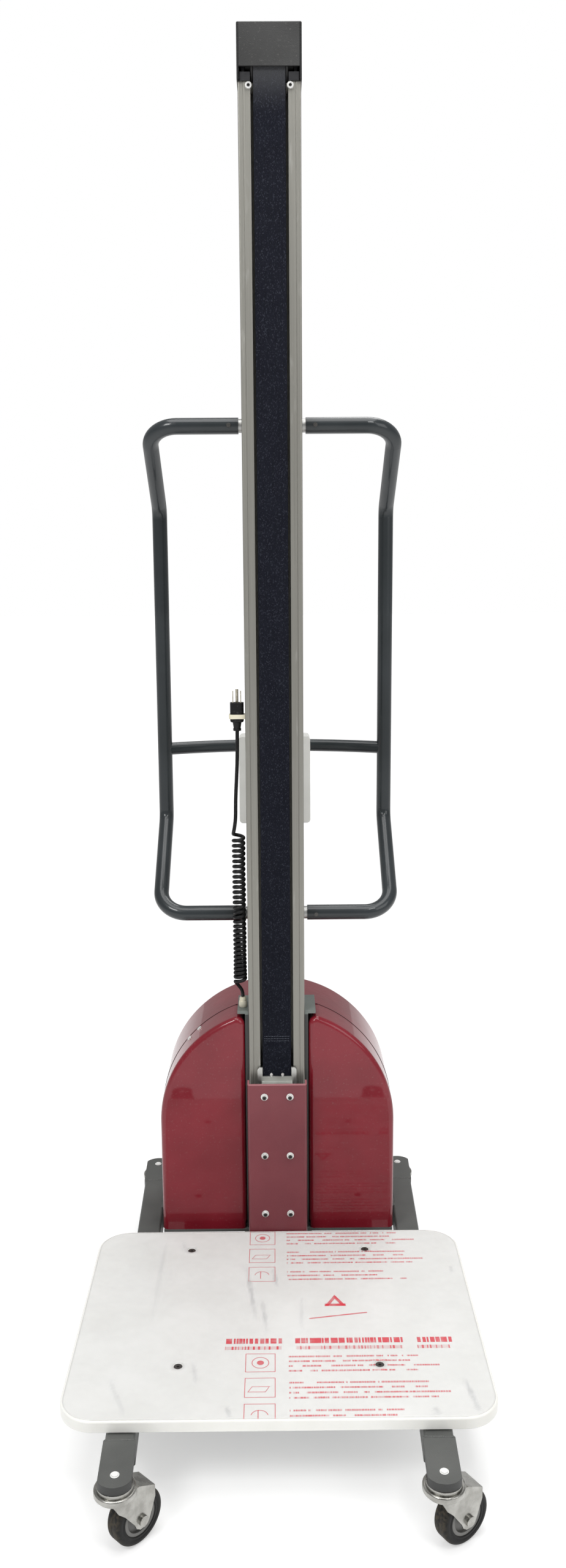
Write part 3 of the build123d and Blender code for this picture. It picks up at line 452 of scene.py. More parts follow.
def screw_heads_and_recess_shade(f):
    """Cap heads darkened as black oxide with painted shade in their recesses, and painted shade in the
    recesses at the mast's top, on the board screws and in the handle screws' holes.
    """
    x, y, z = f.split(f.place)
    along = (z - HEAD_LOW + HEAD_PITCH / 2) % HEAD_PITCH - HEAD_PITCH / 2
    near = f.distance(abs(x) - HEAD_X, along) < HEAD_R
    heads = near * (z < HEAD_HIGH) * (y < FRONT - HEAD_FRONT)
    # painted shade: the recesses at the mast's top, the handle screws' holes and the board screws' recesses
    # are darkened
    top = (f.distance(abs(x) - TOP_HEAD_X, z - TOP_HEAD_Z) < TOP_HEAD_R) * (y < FRONT)
    handles = (z > HANDLES_LOW) * (z < HANDLES_HIGH)
    board = (z < BOARD_SCREW_TOP) * (y < FRONT)
    return heads.larger(top + handles + board), (0.045, 0.043, 0.040, 1)


def pin_tops(f):
    """The bright ends of the kingpins, flush in the end plates."""
    return f.split(f.place)[2] > KINGPIN_END, (0.80, 0.80, 0.78, 1)


def pulley_fork(f):
    """The bracket at the mast's top, which is painted black."""
    return f.split(f.place)[2] > TOP_FORK_LOW, (0.012, 0.012, 0.014, 1)


drawn_aluminium()
plated("fork_zinc", (0.29, 0.285, 0.265), (0.43, 0.425, 0.40), 0.20, 60.0, marks=pin_tops)
plated("clamp_zinc", (0.52, 0.53, 0.50), (0.64, 0.65, 0.62), 0.36, 40.0)
plated("screw_zinc", (0.70, 0.70, 0.68), (0.82, 0.82, 0.80), 0.20, 120.0, 0.55, marks=screw_heads_and_recess_shade)
plated("bare_steel", (0.34, 0.34, 0.33), (0.46, 0.46, 0.45), 0.30, 50.0, marks=pulley_fork)
plated("prong_brass", (0.58, 0.54, 0.44), (0.74, 0.70, 0.60), 0.20, 200.0)
print("metals", [name for name in METALS if name in finishes])

# %% [markdown]
# ## Moulded plastics
# The covers are thick glossy mouldings: a deep crimson body under a clear skin that ripples very
# slightly. Grained black and ivory nylon parts have a matt spark eroded texture. A Principled shader
# with a Coat gives the first, and a fine noise bump gives the second.

# %% Plastics
TOP_PULLEY_LOW = 1.9560      # the pulley at the mast's top lies above this, the rollers below
TOP_BOX_LOW = 1.90
FLANGE_IN = 0.0442           # the top cover's side flanges begin here
FLANGE_OUT = 0.0448


def moulded(name, dark, light, rough, grain, depth, coat=0.0, glow=0.0, tint=(1.0, 1.0, 1.0), shine=0.5,
            rims=None):
    """Moulded plastic; glow is its share of light that travels inside it, and tint that light's colour.
    shine is its specular level, and rims gives a mask of the places that are black."""
    f = Finish(name)
    soft = f.rounded(0.0007)
    drift = f.between(f.cloud(14.0, 3.0), 0.34, 0.66)
    shade = f.mix(drift, (*dark, 1), (*light, 1))
    dust = f.between(f.cloud(260.0, 4.0, shift=6.0), 0.60, 0.72)
    shade = f.mix(dust * 0.05, shade, (0.55, 0.53, 0.49, 1))
    if rims:
        shade = f.mix(rims(f), shade, (0.0010, 0.0010, 0.0012, 1))
    skin = f.cloud(grain, 2.0)
    f.shade(Base_Color=shade, Roughness=rough + 0.08 * f.cloud(50.0, 3.0, shift=9.0) - 0.04,
            Coat_Weight=coat, Coat_Roughness=0.04, Specular_IOR_Level=shine, Subsurface_Weight=glow,
            Subsurface_Scale=0.004, Subsurface_Radius=tint, Normal=f.bump(skin, depth, soft))


def top_pulley_only(f):
    """The pulley at the mast's top, which is black, unlike the pale rollers."""
    return f.split(f.place)[2] > TOP_PULLEY_LOW


def top_cover_rims(f):
    """The side flanges of the top cover, darker than its front panel."""
    x, y, z = f.split(f.place)
    return f.between(abs(x), FLANGE_IN, FLANGE_OUT) * (z > TOP_BOX_LOW)


moulded("crimson_plastic", (0.165, 0.0060, 0.0140), (0.200, 0.0090, 0.0190), 0.36, 90.0, 0.00014, coat=0.70,
        shine=0.15)
moulded("black_plastic", (0.0200, 0.0200, 0.0198), (0.0330, 0.0330, 0.0325), 0.56, 700.0, 0.00050,
        shine=0.35, rims=top_cover_rims)
moulded("ivory_nylon", (0.66, 0.61, 0.46), (0.72, 0.68, 0.54), 0.42, 500.0, 0.00008, glow=0.2,
        tint=(1.0, 0.8, 0.5))
moulded("pulley_nylon", (0.62, 0.60, 0.54), (0.70, 0.68, 0.62), 0.40, 600.0, 0.00008,
        rims=top_pulley_only)
moulded("light_grey_plastic", (0.66, 0.66, 0.63), (0.72, 0.72, 0.69), 0.48, 1300.0, 0.00015)
moulded("rim_grey", (0.105, 0.105, 0.100), (0.140, 0.138, 0.130), 0.46, 900.0, 0.00012)
moulded("cord_rubber", (0.0050, 0.0050, 0.0055), (0.0085, 0.0085, 0.0090), 0.40, 800.0, 0.00008, shine=0.20)
moulded("board_white", (0.780, 0.775, 0.735), (0.830, 0.828, 0.795), 0.40, 420.0, 0.00012, glow=0.15,
        tint=(1.0, 0.95, 0.8))
print("plastics made, now", len(finishes), "finishes")

# %% [markdown]
# ## Push buttons
# The raise and lower buttons carry a plain triangle each, and the stop button a ring of lighter red.
# Marks could be modelled, but print is flat, so each is a mask worked out from the button's centre.

# %% Buttons
FACE_DEPTH = 0.004           # print lies only this near to a button's face


def button(name, node, colour, mark, points_up=0):
    """A glossy button with a triangle on it, or with a ring if it points nowhere."""
    low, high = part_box(node)
    centre = (low + high) / 2
    half = (high.x - low.x) / 2
    f = Finish(name)
    x, y, z = f.split(f.place)
    across = (x - centre.x) / half
    up = (z - centre.z) / half
    if points_up:
        tall = points_up * up
        shape = (abs(across) < 0.55 * (0.45 - tall)) * (tall > -0.40)
    else:
        off = f.distance(across, up)
        shape = (off > 0.52) * (off < 0.60)
    shape = shape * (y > high.y - FACE_DEPTH)
    scuff = f.between(f.cloud(400.0, 3.0), 0.58, 0.70)
    shade = f.mix(shape, (*colour, 1), (*mark, 1))
    shade = f.mix(scuff * 0.15, shade, (0.5, 0.5, 0.5, 1))
    f.shade(Base_Color=shade, Roughness=0.26 + 0.15 * scuff, Coat_Weight=0.3, Coat_Roughness=0.08,
            Normal=f.bump(f.cloud(700.0), 0.00005, f.rounded(0.0005)))


button("green_button", "up_button", (0.03, 0.26, 0.08), (0.8, 0.8, 0.78), 1)
button("white_button", "down_button", (0.70, 0.70, 0.67), (0.03, 0.03, 0.03), -1)
button("red_button", "stop_button", (0.50, 0.012, 0.012), (0.75, 0.10, 0.08))

# %% [markdown]
# ## Lifting webbing
# The strap is woven polyester: narrow warp cords side by side, crossed by weft every millimetre and
# a half, in dark navy with a few paler filaments. The weave is far too fine to model over the whole
# run, so it is a height made of two sine ridges, the second one shifted from cord to cord.

# %% Webbing
WARP = 0.0020
WEFT = 0.0016
STRAP_HIGHLIGHT_LOW = 1.900           # from here up to the pulley the webbing is painted paler, a painted highlight where it bends over
STRAP_HIGHLIGHT_HIGH = 1.985


def ridges(f, value, pitch):
    """Rounded ridges a pitch apart."""
    wave = f.node("ShaderNodeMath", {"operation": "SINE"}, {0: value * (pi / pitch)})
    return abs(wave)


def webbing():
    f = Finish("strap_webbing")
    x, _, z = f.split(f.place)
    cord_number = (x / WARP).floor()
    shifted = z + (cord_number % 4) * (WEFT / 4)
    weave = ridges(f, x, WARP) * (0.35 + 0.65 * ridges(f, shifted, WEFT))
    fleck = f.between(f.cloud(1.0, 2.0, stretch=(700.0, 700.0, 420.0)), 0.58, 0.66)
    drift = f.between(f.cloud(30.0, 3.0), 0.35, 0.65)
    shade = f.mix(weave, (0.0012, 0.0014, 0.0026, 1), (0.0070, 0.0085, 0.0175, 1))
    shade = f.mix(drift * 0.20, shade, (0.0110, 0.0130, 0.0210, 1))
    shade = f.mix(fleck * 0.40, shade, (0.0550, 0.0600, 0.0800, 1))
    # painted highlight: the strap is painted paler towards the pulley, where its bend catches the light
    rubbed_and_highlight = f.between(z, STRAP_HIGHLIGHT_LOW, STRAP_HIGHLIGHT_HIGH)
    shade = f.mix(rubbed_and_highlight * rubbed_and_highlight * 0.8, shade, (0.1000, 0.1020, 0.1050, 1))
    f.shade(Base_Color=shade, Roughness=0.74, Specular_IOR_Level=0.12, Normal=f.bump(weave, 0.0005))


webbing()
print("webbing", WARP, "by", WEFT, "m")

# %% [markdown]
# ## Rubber
# A stacker's tyre is black rubber whose tread turns brown-grey with floor dust while the walls stay
# dark. A plain formula on the object cannot know which way each caster points, so the tyre meshes
# made below carry a `tread` attribute, and the material only reads it.

# %% Tyre finish
def tyre_rubber():
    f = Finish("tyre_rubber")
    tread = f.node("ShaderNodeAttribute", {"attribute_name": "tread"}, out="Fac")
    dust = tread * f.between(f.cloud(240.0, 4.0), 0.36, 0.62)
    film = f.between(f.cloud(70.0, 3.0, shift=2.0), 0.50, 0.70)
    shade = f.mix(dust * 0.75, (0.0060, 0.0060, 0.0060, 1), (0.080, 0.068, 0.050, 1))
    shade = f.mix(film * 0.15, shade, (0.050, 0.048, 0.044, 1))
    f.shade(Base_Color=shade, Roughness=0.55 + 0.30 * dust, Specular_IOR_Level=0.25,
            Normal=f.bump(f.cloud(1100.0, 3.0), 0.00025))


tyre_rubber()
print("tyre finish made")

# %% [markdown]
# ## Protective film
# The white board still wears its thin clear film. Such film is printed all over with faint red
# pictures and rows of small print that repeat along the roll. Here the print is plain generic marks:
# outlined boxes with simple shapes, word-long dashes and solid bars, all worked out from one repeat.
# The film itself is see-through and a little hazy, so the print also goes through the Alpha.

# %% Film finish
REPEAT = 0.328               # length of one print on the roll
PRINT_START = -0.0275        # where a repeat starts, from the mast's front face
PRINT_RED = (0.62, 0.045, 0.065, 1)
PICTURE_X = -0.0265          # middle of the three pictures, across the roll
PICTURE_V = (0.0260, 0.0795, 0.1330)
TEXT_LEFT = 0.0140
TEXT_PITCH = 0.0105
TEXT_BLOCKS = ((0.0080, 4, 0.235), (0.0650, 4, 0.245), (0.1220, 3, 0.205))
MARK_X = 0.0870              # the triangle's middle
MARK_V = 0.2080
STROKE_LEFT = 0.0463         # the long thin line under it
STROKE_RIGHT = 0.1347
STROKE_V = 0.2500
STROKE_SLOPE = 0.16


def inside(value, low, high):
    """1 between two limits."""
    return (value > low) * (value < high)


def outline(across, along, half_x, half_y, line):
    """A thin rectangle round the origin."""
    far_x = abs(across) - half_x
    far_y = abs(along) - half_y
    return inside(far_x.larger(far_y), -line, 0.0)


def ring(f, across, along, radius, line):
    """A thin circle round the origin."""
    return inside(f.distance(across, along), radius - line, radius)


def flat_noise(f, place, detail):
    """Noise over two made-up coordinates."""
    return f.node("ShaderNodeTexNoise", {"noise_dimensions": "2D"},
                  {"Vector": place, "Scale": 1.0, "Detail": detail})


def small_print(f, x, v, start, rows, right):
    """Rows of word-long dashes with ragged ends."""
    down = (v - start) / TEXT_PITCH
    row = down.floor()
    stripe = inside(down - row, 0.30, 0.62) * inside(down, 0.0, float(rows))
    words = f.node("ShaderNodeCombineXYZ", {}, {0: x * 75.0, 1: row * 3.7 + start * 900.0})
    gaps = flat_noise(f, words, 1.0)
    strokes = f.node("ShaderNodeCombineXYZ", {}, {0: x * 620.0, 1: row * 5.1})
    ticks = flat_noise(f, strokes, 0.0)
    ragged = f.node("ShaderNodeTexWhiteNoise", {"noise_dimensions": "1D"}, {"W": row + start * 100.0})
    ends = inside(x, TEXT_LEFT, right - 0.050 * ragged)
    return stripe * ends * (gaps > 0.39) * (0.45 + 0.55 * (ticks > 0.50)) * 0.85


def roll_print(f):
    """The whole repeat: three pictures, three blocks of small print, a mark, a line and two bars."""
    x, y, _ = f.split(f.place)
    v = (FRONT + PRINT_START - y) % REPEAT
    picture_x = x - PICTURE_X
    boxes = 0.0
    for picture_v in PICTURE_V:
        boxes = outline(picture_x, v - picture_v, 0.0215, 0.0205, 0.0010) + boxes
    sun = ring(f, picture_x, v - PICTURE_V[0], 0.0125, 0.0011)
    spot = ring(f, picture_x, v - PICTURE_V[0], 0.0050, 0.0050)
    board = outline(picture_x + 0.5 * (v - PICTURE_V[1]), v - 0.0830, 0.0125, 0.0060, 0.0009)
    shelter = ring(f, picture_x, v - 0.1370, 0.0120, 0.0010) * (v < 0.1350)
    stem = inside(abs(picture_x + 0.002), -1.0, 0.0006) * inside(v, 0.1250, 0.1450)
    thin = boxes + sun + spot + board + shelter + stem
    rows = 0.0
    for start, count, right in TEXT_BLOCKS:
        rows = small_print(f, x, v, start, count, right) + rows
    heavy_words = f.node("ShaderNodeCombineXYZ", {}, {0: x * 34.0, 1: 2.0})
    heavy = flat_noise(f, heavy_words, 0.0)
    blocks = f.node("ShaderNodeCombineXYZ", {}, {0: x * 260.0, 1: 7.0})
    broken = flat_noise(f, blocks, 0.0) > 0.42
    upper = inside(v, 0.2985, 0.3105) * inside(x, -0.079, 0.254) * (heavy > 0.36) * broken
    lower = inside(v, 0.3170, 0.3245) * inside(x, -0.078, 0.249) * (heavy > 0.40) * (1 - 0.7 * broken)
    mark_x = x - MARK_X
    mark_v = v - MARK_V
    rise = 0.0170 - abs(mark_x) * 1.75 + mark_v
    mark = inside(rise, 0.0, 0.0105) * (mark_v < 0.0120)
    base = inside(mark_v, 0.0060, 0.0120) * inside(abs(mark_x), -1.0, 0.0160)
    slant = v - STROKE_V + (x - STROKE_LEFT) * STROKE_SLOPE
    stroke = inside(slant, 0.0, 0.0024) * inside(x, STROKE_LEFT, STROKE_RIGHT)
    solid = upper + lower + mark + base + stroke
    faded = f.between(f.cloud(60.0, 2.0, shift=1.0), 0.30, 0.55)
    total = thin * 0.85 + rows + solid * (0.70 + 0.25 * faded)
    return f.between(total, 0.0, 1.0)


def clear_film():
    f = Finish("clear_film")
    print_share = roll_print(f)
    haze = f.between(f.cloud(11.0, 3.0), 0.35, 0.65)
    crease_shade = f.node("ShaderNodeAttribute", {"attribute_name": "crease_shade"}, out="Fac")
    shade = f.mix(haze, (0.860, 0.862, 0.855, 1), (0.920, 0.922, 0.912, 1))
    shade = f.mix(print_share, shade, PRINT_RED)
    # creases are painted grey and made less see-through: painted shade along the folds, with some of the
    # real haze of creased film
    shade = f.mix(crease_shade * 0.6, shade, (0.46, 0.47, 0.46, 1))
    see = 0.36 + 0.10 * haze + 0.40 * crease_shade
    alpha = see + print_share * (1 - see)
    scuff = f.between(f.cloud(1.0, 4.0, stretch=(260.0, 90.0, 200.0)), 0.52, 0.70)
    f.shade(Base_Color=shade, Alpha=alpha, Roughness=0.34 + 0.16 * scuff, Coat_Weight=0.25,
            Coat_Roughness=0.30, Normal=f.bump(f.cloud(55.0, 3.0, shift=3.0), 0.0008))


clear_film()
print("film repeat", REPEAT, "m, finishes", len(finishes))

# %% [markdown]
# ## Dress the CAD parts
# Each CAD part came in with a slot named after its finish, so giving it the new material is a
# matter of looking up that name. Parts that are about to be replaced get theirs too, harmlessly.

# %% Assign finishes
for name, part in frame["nodes"].items():
    for holder in part.material_slots:
        holder.material = finishes[holder.material.name.split(".")[0]]
print("finishes on", len(frame["nodes"]), "parts")

# %% [markdown]
# ## New meshes
# Every new piece is a mesh whose object stays at the origin. A lofted skin, a closed ring of points
# repeated along a way, makes the strap and the tyres, and one small helper builds it.

# %% Mesh helpers
def piece(name, mesh, finish):
    """An object at the origin that wears one finish."""
    made = bpy.data.objects.new(name, mesh)
    bpy.context.scene.collection.objects.link(made)
    mesh.materials.clear()
    mesh.materials.append(finishes[finish])
    return made


def loft(name, rings, closed):
    """Quads between equal rings of points; the ends meet if closed, and are capped if not."""
    work = bmesh.new()
    verts = [[work.verts.new(p) for p in ring_points] for ring_points in rings]
    count = len(rings[0])
    spans = len(rings) if closed else len(rings) - 1
    for i in range(spans):
        a = verts[i]
        b = verts[(i + 1) % len(rings)]
        for j in range(count):
            k = (j + 1) % count
            work.faces.new((a[j], a[k], b[k], b[j]))
    if not closed:
        work.faces.new(verts[0])
        work.faces.new(list(reversed(verts[-1])))
    bmesh.ops.recalc_face_normals(work, faces=work.faces)
    mesh = bpy.data.meshes.new(name)
    work.to_mesh(mesh)
    work.free()
    mesh.shade_smooth()
    return mesh


print("mesh helpers ready")

# %% [markdown]
# ## The strap's front run
# Webbing has soft round selvedges and is a hair thinner there. Its section is lofted straight up
# from the clamp to the pulley. It shortens as the platform rises while its sewn end rides with the
# carriage; here the run is tied to the frame.

# %% Strap
strap_low, strap_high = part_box("strap_front_run")
STRAP_STEPS = 200


def strap_section(z):
    """Closed ring of points round the webbing: a rounded edge, then a face, on each side."""
    thick = (strap_high.y - strap_low.y) / 2
    flat = (strap_high.x - strap_low.x) / 2 - thick
    middle = (strap_high.y + strap_low.y) / 2
    points = []
    for side in (1, -1):
        for step in range(-3, 4):
            angle = radians(30 * step)
            points.append((side * (flat + thick * cos(angle)), middle + side * thick * sin(angle), z))
        for share in (0.96, 0.5, 0.0, -0.5, -0.96):
            points.append((side * flat * share, middle + side * thick, z))
    return points


span = strap_high.z - strap_low.z
heights = [strap_low.z + span * n / STRAP_STEPS for n in range(STRAP_STEPS + 1)]
strap = piece("strap_webbing_run", loft("strap_webbing_run", [strap_section(z) for z in heights], False),
              "strap_webbing")
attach(strap, "frame")
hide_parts("strap_front_run")
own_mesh(strap)

# %% [markdown]
# ## Tyres
# A tyre is a ring of rubber with rounded shoulders, a raised bead line on each wall and a shallow
# parting line where its mould halves met. Its section is written once, as rounded corners and small
# steps, and is turned round the axle that the joint gives. Points on the outside carry `tread`.

# %% Tyres
TYRE_STEPS = 96
TYRE_HALF = 0.0120
SHOULDER = 0.0050
CORNERS = ("front_left", "front_right", "rear_left", "rear_right")


def tyre_section(half, inner, outer):
    """Offset, radius and share of tread for each point round the tyre's section."""
    wall = [(half - 0.0008, inner, 0.0), (half, inner + 0.0008, 0.0), (half, inner + 0.0022, 0.0),
            (half - 0.0004, inner + 0.0027, 0.0), (half - 0.0004, inner + 0.0050, 0.0),
            (half, inner + 0.0056, 0.0), (half, outer - SHOULDER, 0.0)]
    shoulder = []
    for step in range(1, 7):
        turn = radians(15 * step)
        shoulder.append((half - SHOULDER + SHOULDER * cos(turn), outer - SHOULDER + SHOULDER * sin(turn),
                         step / 6))
    face = [(0.0045, outer, 1.0), (0.0006, outer, 1.0), (0.0, outer - 0.0004, 1.0)]
    right = wall + shoulder + face
    left = [(-across, radius, tread) for across, radius, tread in reversed(right[:-1])]
    return right + left


def tyre(corner):
    """The tyre of one caster, in place of its plain CAD ring."""
    low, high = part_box(f"{corner}_tyre")
    joint = next(j for j in frame["joints"] if j["name"] == f"{corner}_wheel")
    axis = Vector(joint["axis"]).normalized()
    centre = (low + high) / 2
    outer = (high.z - low.z) / 2
    rim_low, rim_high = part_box(f"{corner}_rim")
    inner = (rim_high.z - rim_low.z) / 2
    side = axis.cross(Vector((0.0, 0.0, 1.0)))
    section = tyre_section(TYRE_HALF, inner, outer)
    rings = []
    for step in range(TYRE_STEPS):
        angle = 2 * pi * step / TYRE_STEPS
        out = side * cos(angle) + Vector((0.0, 0.0, 1.0)) * sin(angle)
        rings.append([centre + axis * across + out * radius for across, radius, _ in section])
    mesh = loft(f"{corner}_rubber", rings, True)
    values = mesh.attributes.new("tread", "FLOAT", "POINT")
    for number, spot in enumerate(values.data):
        spot.value = section[number % len(section)][2]
    made = piece(f"{corner}_rubber", mesh, "tyre_rubber")
    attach(made, f"{corner}_wheel")
    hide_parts(f"{corner}_tyre")
    return made


for corner in CORNERS:
    made = tyre(corner)
    print(made.name, "faces", len(made.data.polygons))

# %% [markdown]
# ## Seam between the covers
# The front and rear covers meet over a thin black rubber strip that closes the joint against dust
# and stands a hair proud of it. It follows the arch, so its middle line is worked out along the arc
# and down the side, and a small round section is carried along that line.

# %% Cover gasket
ARCH_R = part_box("rear_cover")[1].x
ARCH_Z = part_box("rear_cover")[1].z - ARCH_R
GASKET_R = 0.0009
GASKET_SINK = 0.0003
GASKET_DEPTH = 0.0650        # behind the mast's front face
GASKET_LOW = 0.1180
GASKET_INNER = 0.0700        # where it ends, beside the mast holder
ARCH_STEPS = 40
SIDE_STEPS = 8
GASKET_POINTS = 8
SIDES = ((-1, "left"), (1, "right"))


def gasket(side):
    """Rings round the strip's middle line on one side of the truck."""
    r = ARCH_R - GASKET_SINK
    first = pi / 2 - GASKET_INNER / r
    line = [first * (1 - n / ARCH_STEPS) for n in range(ARCH_STEPS + 1)]
    points = [(r * cos(a), ARCH_Z + r * sin(a), cos(a), sin(a)) for a in line]
    drop = ARCH_Z - GASKET_LOW
    points += [(r, ARCH_Z - drop * n / SIDE_STEPS, 1.0, 0.0) for n in range(1, SIDE_STEPS + 1)]
    rings = []
    for x, z, out_x, out_z in points:
        ring_points = []
        for n in range(GASKET_POINTS):
            out = GASKET_R * cos(2 * pi * n / GASKET_POINTS)
            back = GASKET_R * sin(2 * pi * n / GASKET_POINTS)
            ring_points.append((side * (x + out * out_x), FRONT + GASKET_DEPTH + back, z + out * out_z))
        rings.append(ring_points)
    return rings


for side, side_name in SIDES:
    name = f"{side_name}_cover_gasket"
    strip = piece(name, loft(name, gasket(side), False), "cord_rubber")
    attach(strip, "frame")
    print(name, "faces", len(strip.data.polygons))

# %% [markdown]
# ## The film's wrinkles
# The film was rolled on by hand, so it has long creases, small blisters and a slight wave. Cloth
# simulation would lose such sharp creases, so the film is a fine grid whose height is worked out:
# ridges along a few chosen lines, blisters near the screws, and a low noise for the wave. It is
# given its thickness by Solidify.

# %% Film sheet
film_low, film_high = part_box("platform_film")
FILM_CORNER = 0.047
FILM_STEP = 0.0032
FILM_THICK = 0.00008
FILM_REST = 0.00012          # its lowest height over the board
WAVE_HIGH = 0.00030
RIPPLE_HIGH = 0.00016
CREASE_HALF = 0.0036         # half width of a crease
CREASE_WANDER = 0.0015       # how far it strays from its line
BLISTER_R = 0.0100           # round each screw
BLISTER_HALF = 0.0060
BLISTER_HIGH = 0.0007
CREASE_SHADE_FULL = 0.0009           # a crease this high shows fully
SCREW_HOLE = 0.0070
SCREW_X = 0.1437
SCREW_Y = (-0.0890, -0.3873)
CREASES = [((-0.053, -0.129), (-0.034, -0.282), 0.0010), ((-0.026, -0.224), (-0.017, -0.314), 0.0008),
           ((0.036, -0.222), (0.034, -0.308), 0.0005), ((0.259, -0.418), (0.271, -0.498), 0.0010),
           ((0.209, -0.476), (0.216, -0.498), 0.0008), ((-0.124, -0.376), (-0.115, -0.429), 0.0006),
           ((-0.073, -0.470), (-0.065, -0.498), 0.0008), ((-0.160, -0.058), (-0.154, -0.097), 0.0006),
           ((-0.008, -0.141), (-0.002, -0.201), 0.0008), ((0.279, -0.138), (0.279, -0.164), 0.0005),
           ((-0.189, -0.035), (-0.192, -0.300), 0.0003), ((-0.240, -0.410), (-0.205, -0.495), 0.0005)]


def crease_height(x, y, start, end, height):
    """A narrow ridge that fades out at both ends."""
    a = Vector(start)
    along = Vector(end) - a
    share = (Vector((x, y)) - a).dot(along) / along.length_squared
    if not 0.0 < share < 1.0:
        return 0.0
    off = (Vector((x, y)) - a - along * share).length
    wander = CREASE_WANDER * sin(9.0 * share + 40.0 * start[0])
    near = max(0.0, 1.0 - abs(off - abs(wander)) / CREASE_HALF)
    return height * near * near * sin(pi * share)


def creased(x, y):
    """Height of all the creases together."""
    return sum(crease_height(x, y, *crease) for crease in CREASES)


def film_lift(x, y):
    """Height of the film over the board; y is from the mast's front face."""
    wave = noise.noise(Vector((9.0 * x, 6.0 * y, 0.5)))
    lift = FILM_REST + WAVE_HIGH * max(0.0, wave)
    ripple = noise.noise(Vector((60.0 * x, 22.0 * y, 4.5)))
    lift += RIPPLE_HIGH * max(0.0, ripple - 0.1)
    for sx in (-SCREW_X, SCREW_X):
        for sy in SCREW_Y:
            near = hypot(x - sx, y - sy)
            lift += BLISTER_HIGH * max(0.0, 1.0 - abs(near - BLISTER_R) / BLISTER_HALF)
    return lift + creased(x, y)


def film_half_width(y):
    """Half the film's width at a depth, which narrows round its corners."""
    half = (film_high.x - film_low.x) / 2
    inset = min(y - (film_low.y - FRONT), (film_high.y - FRONT) - y)
    if inset >= FILM_CORNER:
        return half
    cut = FILM_CORNER - inset
    return half - FILM_CORNER + (FILM_CORNER ** 2 - cut ** 2) ** 0.5


def film_mesh():
    """Grid of the film with a round hole at each screw."""
    work = bmesh.new()
    deep = film_high.y - film_low.y
    rows = round(deep / FILM_STEP)
    columns = round((film_high.x - film_low.x) / FILM_STEP)
    grid = []
    for i in range(rows + 1):
        y = (film_low.y - FRONT) + deep * (i / rows)
        half = film_half_width(y)
        line = []
        for j in range(columns + 1):
            x = half * (2 * j / columns - 1)
            line.append(work.verts.new((x, y, film_lift(x, y))))
        grid.append(line)
    for i in range(rows):
        for j in range(columns):
            work.faces.new((grid[i][j], grid[i][j + 1], grid[i + 1][j + 1], grid[i + 1][j]))
    holes = [Vector((x, y)) for x in (-SCREW_X, SCREW_X) for y in SCREW_Y]
    lost = [v for v in work.verts if any((v.co.xy - hole).length < SCREW_HOLE for hole in holes)]
    bmesh.ops.delete(work, geom=lost, context="VERTS")
    for vert in work.verts:
        for hole in holes:
            off = vert.co.xy - hole
            if vert.is_boundary and off.length < 2 * SCREW_HOLE:
                vert.co.xy = hole + off.normalized() * SCREW_HOLE
    for vert in work.verts:
        vert.co = Vector((vert.co.x, vert.co.y + FRONT, vert.co.z + film_low.z))
    mesh = bpy.data.meshes.new("film_sheet")
    work.to_mesh(mesh)
    work.free()
    mesh.shade_smooth()
    # each point stores how much painted shade of a crease it gets
    crease_shades = mesh.attributes.new("crease_shade", "FLOAT", "POINT")
    for vert, spot in zip(mesh.vertices, crease_shades.data):
        spot.value = min(1.0, creased(vert.co.x, vert.co.y - FRONT) / CREASE_SHADE_FULL)
    return mesh


film = piece("film_sheet", film_mesh(), "clear_film")
thicken = film.modifiers.new("Thickness", "SOLIDIFY")
thicken.thickness = FILM_THICK
thicken.offset = 1.0
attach(film, "carriage")
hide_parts("platform_film")
print("film faces", len(film.data.polygons))

# %% [markdown]
# ## Growing small repeats
# Stitches, weld ripples and grip ribs are one small shape repeated along a line. Geometry Nodes
# does that: each tree below has named inputs for its sizes, scatters its shape, realises the
# copies and sets the material. `grown` builds the tree, feeds it, and keeps the plain mesh.

# %% Geometry Nodes helper
KINDS = {float: "NodeSocketFloat", int: "NodeSocketInt", bpy.types.Material: "NodeSocketMaterial"}


def grown(name, sizes, build, start=None):
    """Plain mesh of a Geometry Nodes tree, whose named inputs are sizes, grown on start."""
    tree = bpy.data.node_groups.new(name, "GeometryNodeTree")
    tree.interface.new_socket("Geometry", in_out="OUTPUT", socket_type="NodeSocketGeometry")
    tree.interface.new_socket("Start", in_out="INPUT", socket_type="NodeSocketGeometry")
    keys = {}
    for label, size in sizes.items():
        made = tree.interface.new_socket(label, in_out="INPUT", socket_type=KINDS[type(size)])
        keys[label] = made.identifier
    graph = Graph(tree)
    entry = tree.nodes.new("NodeGroupInput")
    given = {label: Value(graph, entry.outputs[label]) for label in ("Start", *sizes)}
    graph.node("NodeGroupOutput", {}, {0: build(graph, given)})
    host = bpy.data.objects.new(name, start or bpy.data.meshes.new(name))
    bpy.context.scene.collection.objects.link(host)
    grow = host.modifiers.new("Grow", "NODES")
    grow.node_group = tree
    for label, size in sizes.items():
        grow[keys[label]] = size
    bpy.context.view_layer.update()
    depsgraph = bpy.context.evaluated_depsgraph_get()
    plain = bpy.data.meshes.new_from_object(host.evaluated_get(depsgraph), depsgraph=depsgraph)
    bpy.data.objects.remove(host)
    plain.shade_smooth()
    return plain


def bead(graph, long, wide, high):
    """A small smooth bead of few faces, of these half sizes."""
    ball = graph.node("GeometryNodeMeshUVSphere", {}, {"Segments": 8, "Rings": 5, "Radius": 1.0})
    size = graph.node("ShaderNodeCombineXYZ", {}, {0: long, 1: wide, 2: high})
    return graph.node("GeometryNodeTransform", {}, {"Geometry": ball, "Scale": size})


def closed_off(graph, instances, material):
    """The last two nodes of each tree."""
    real = graph.node("GeometryNodeRealizeInstances", {}, {0: instances})
    return graph.node("GeometryNodeSetMaterial", {}, {"Geometry": real, "Material": material})


print("helper ready")

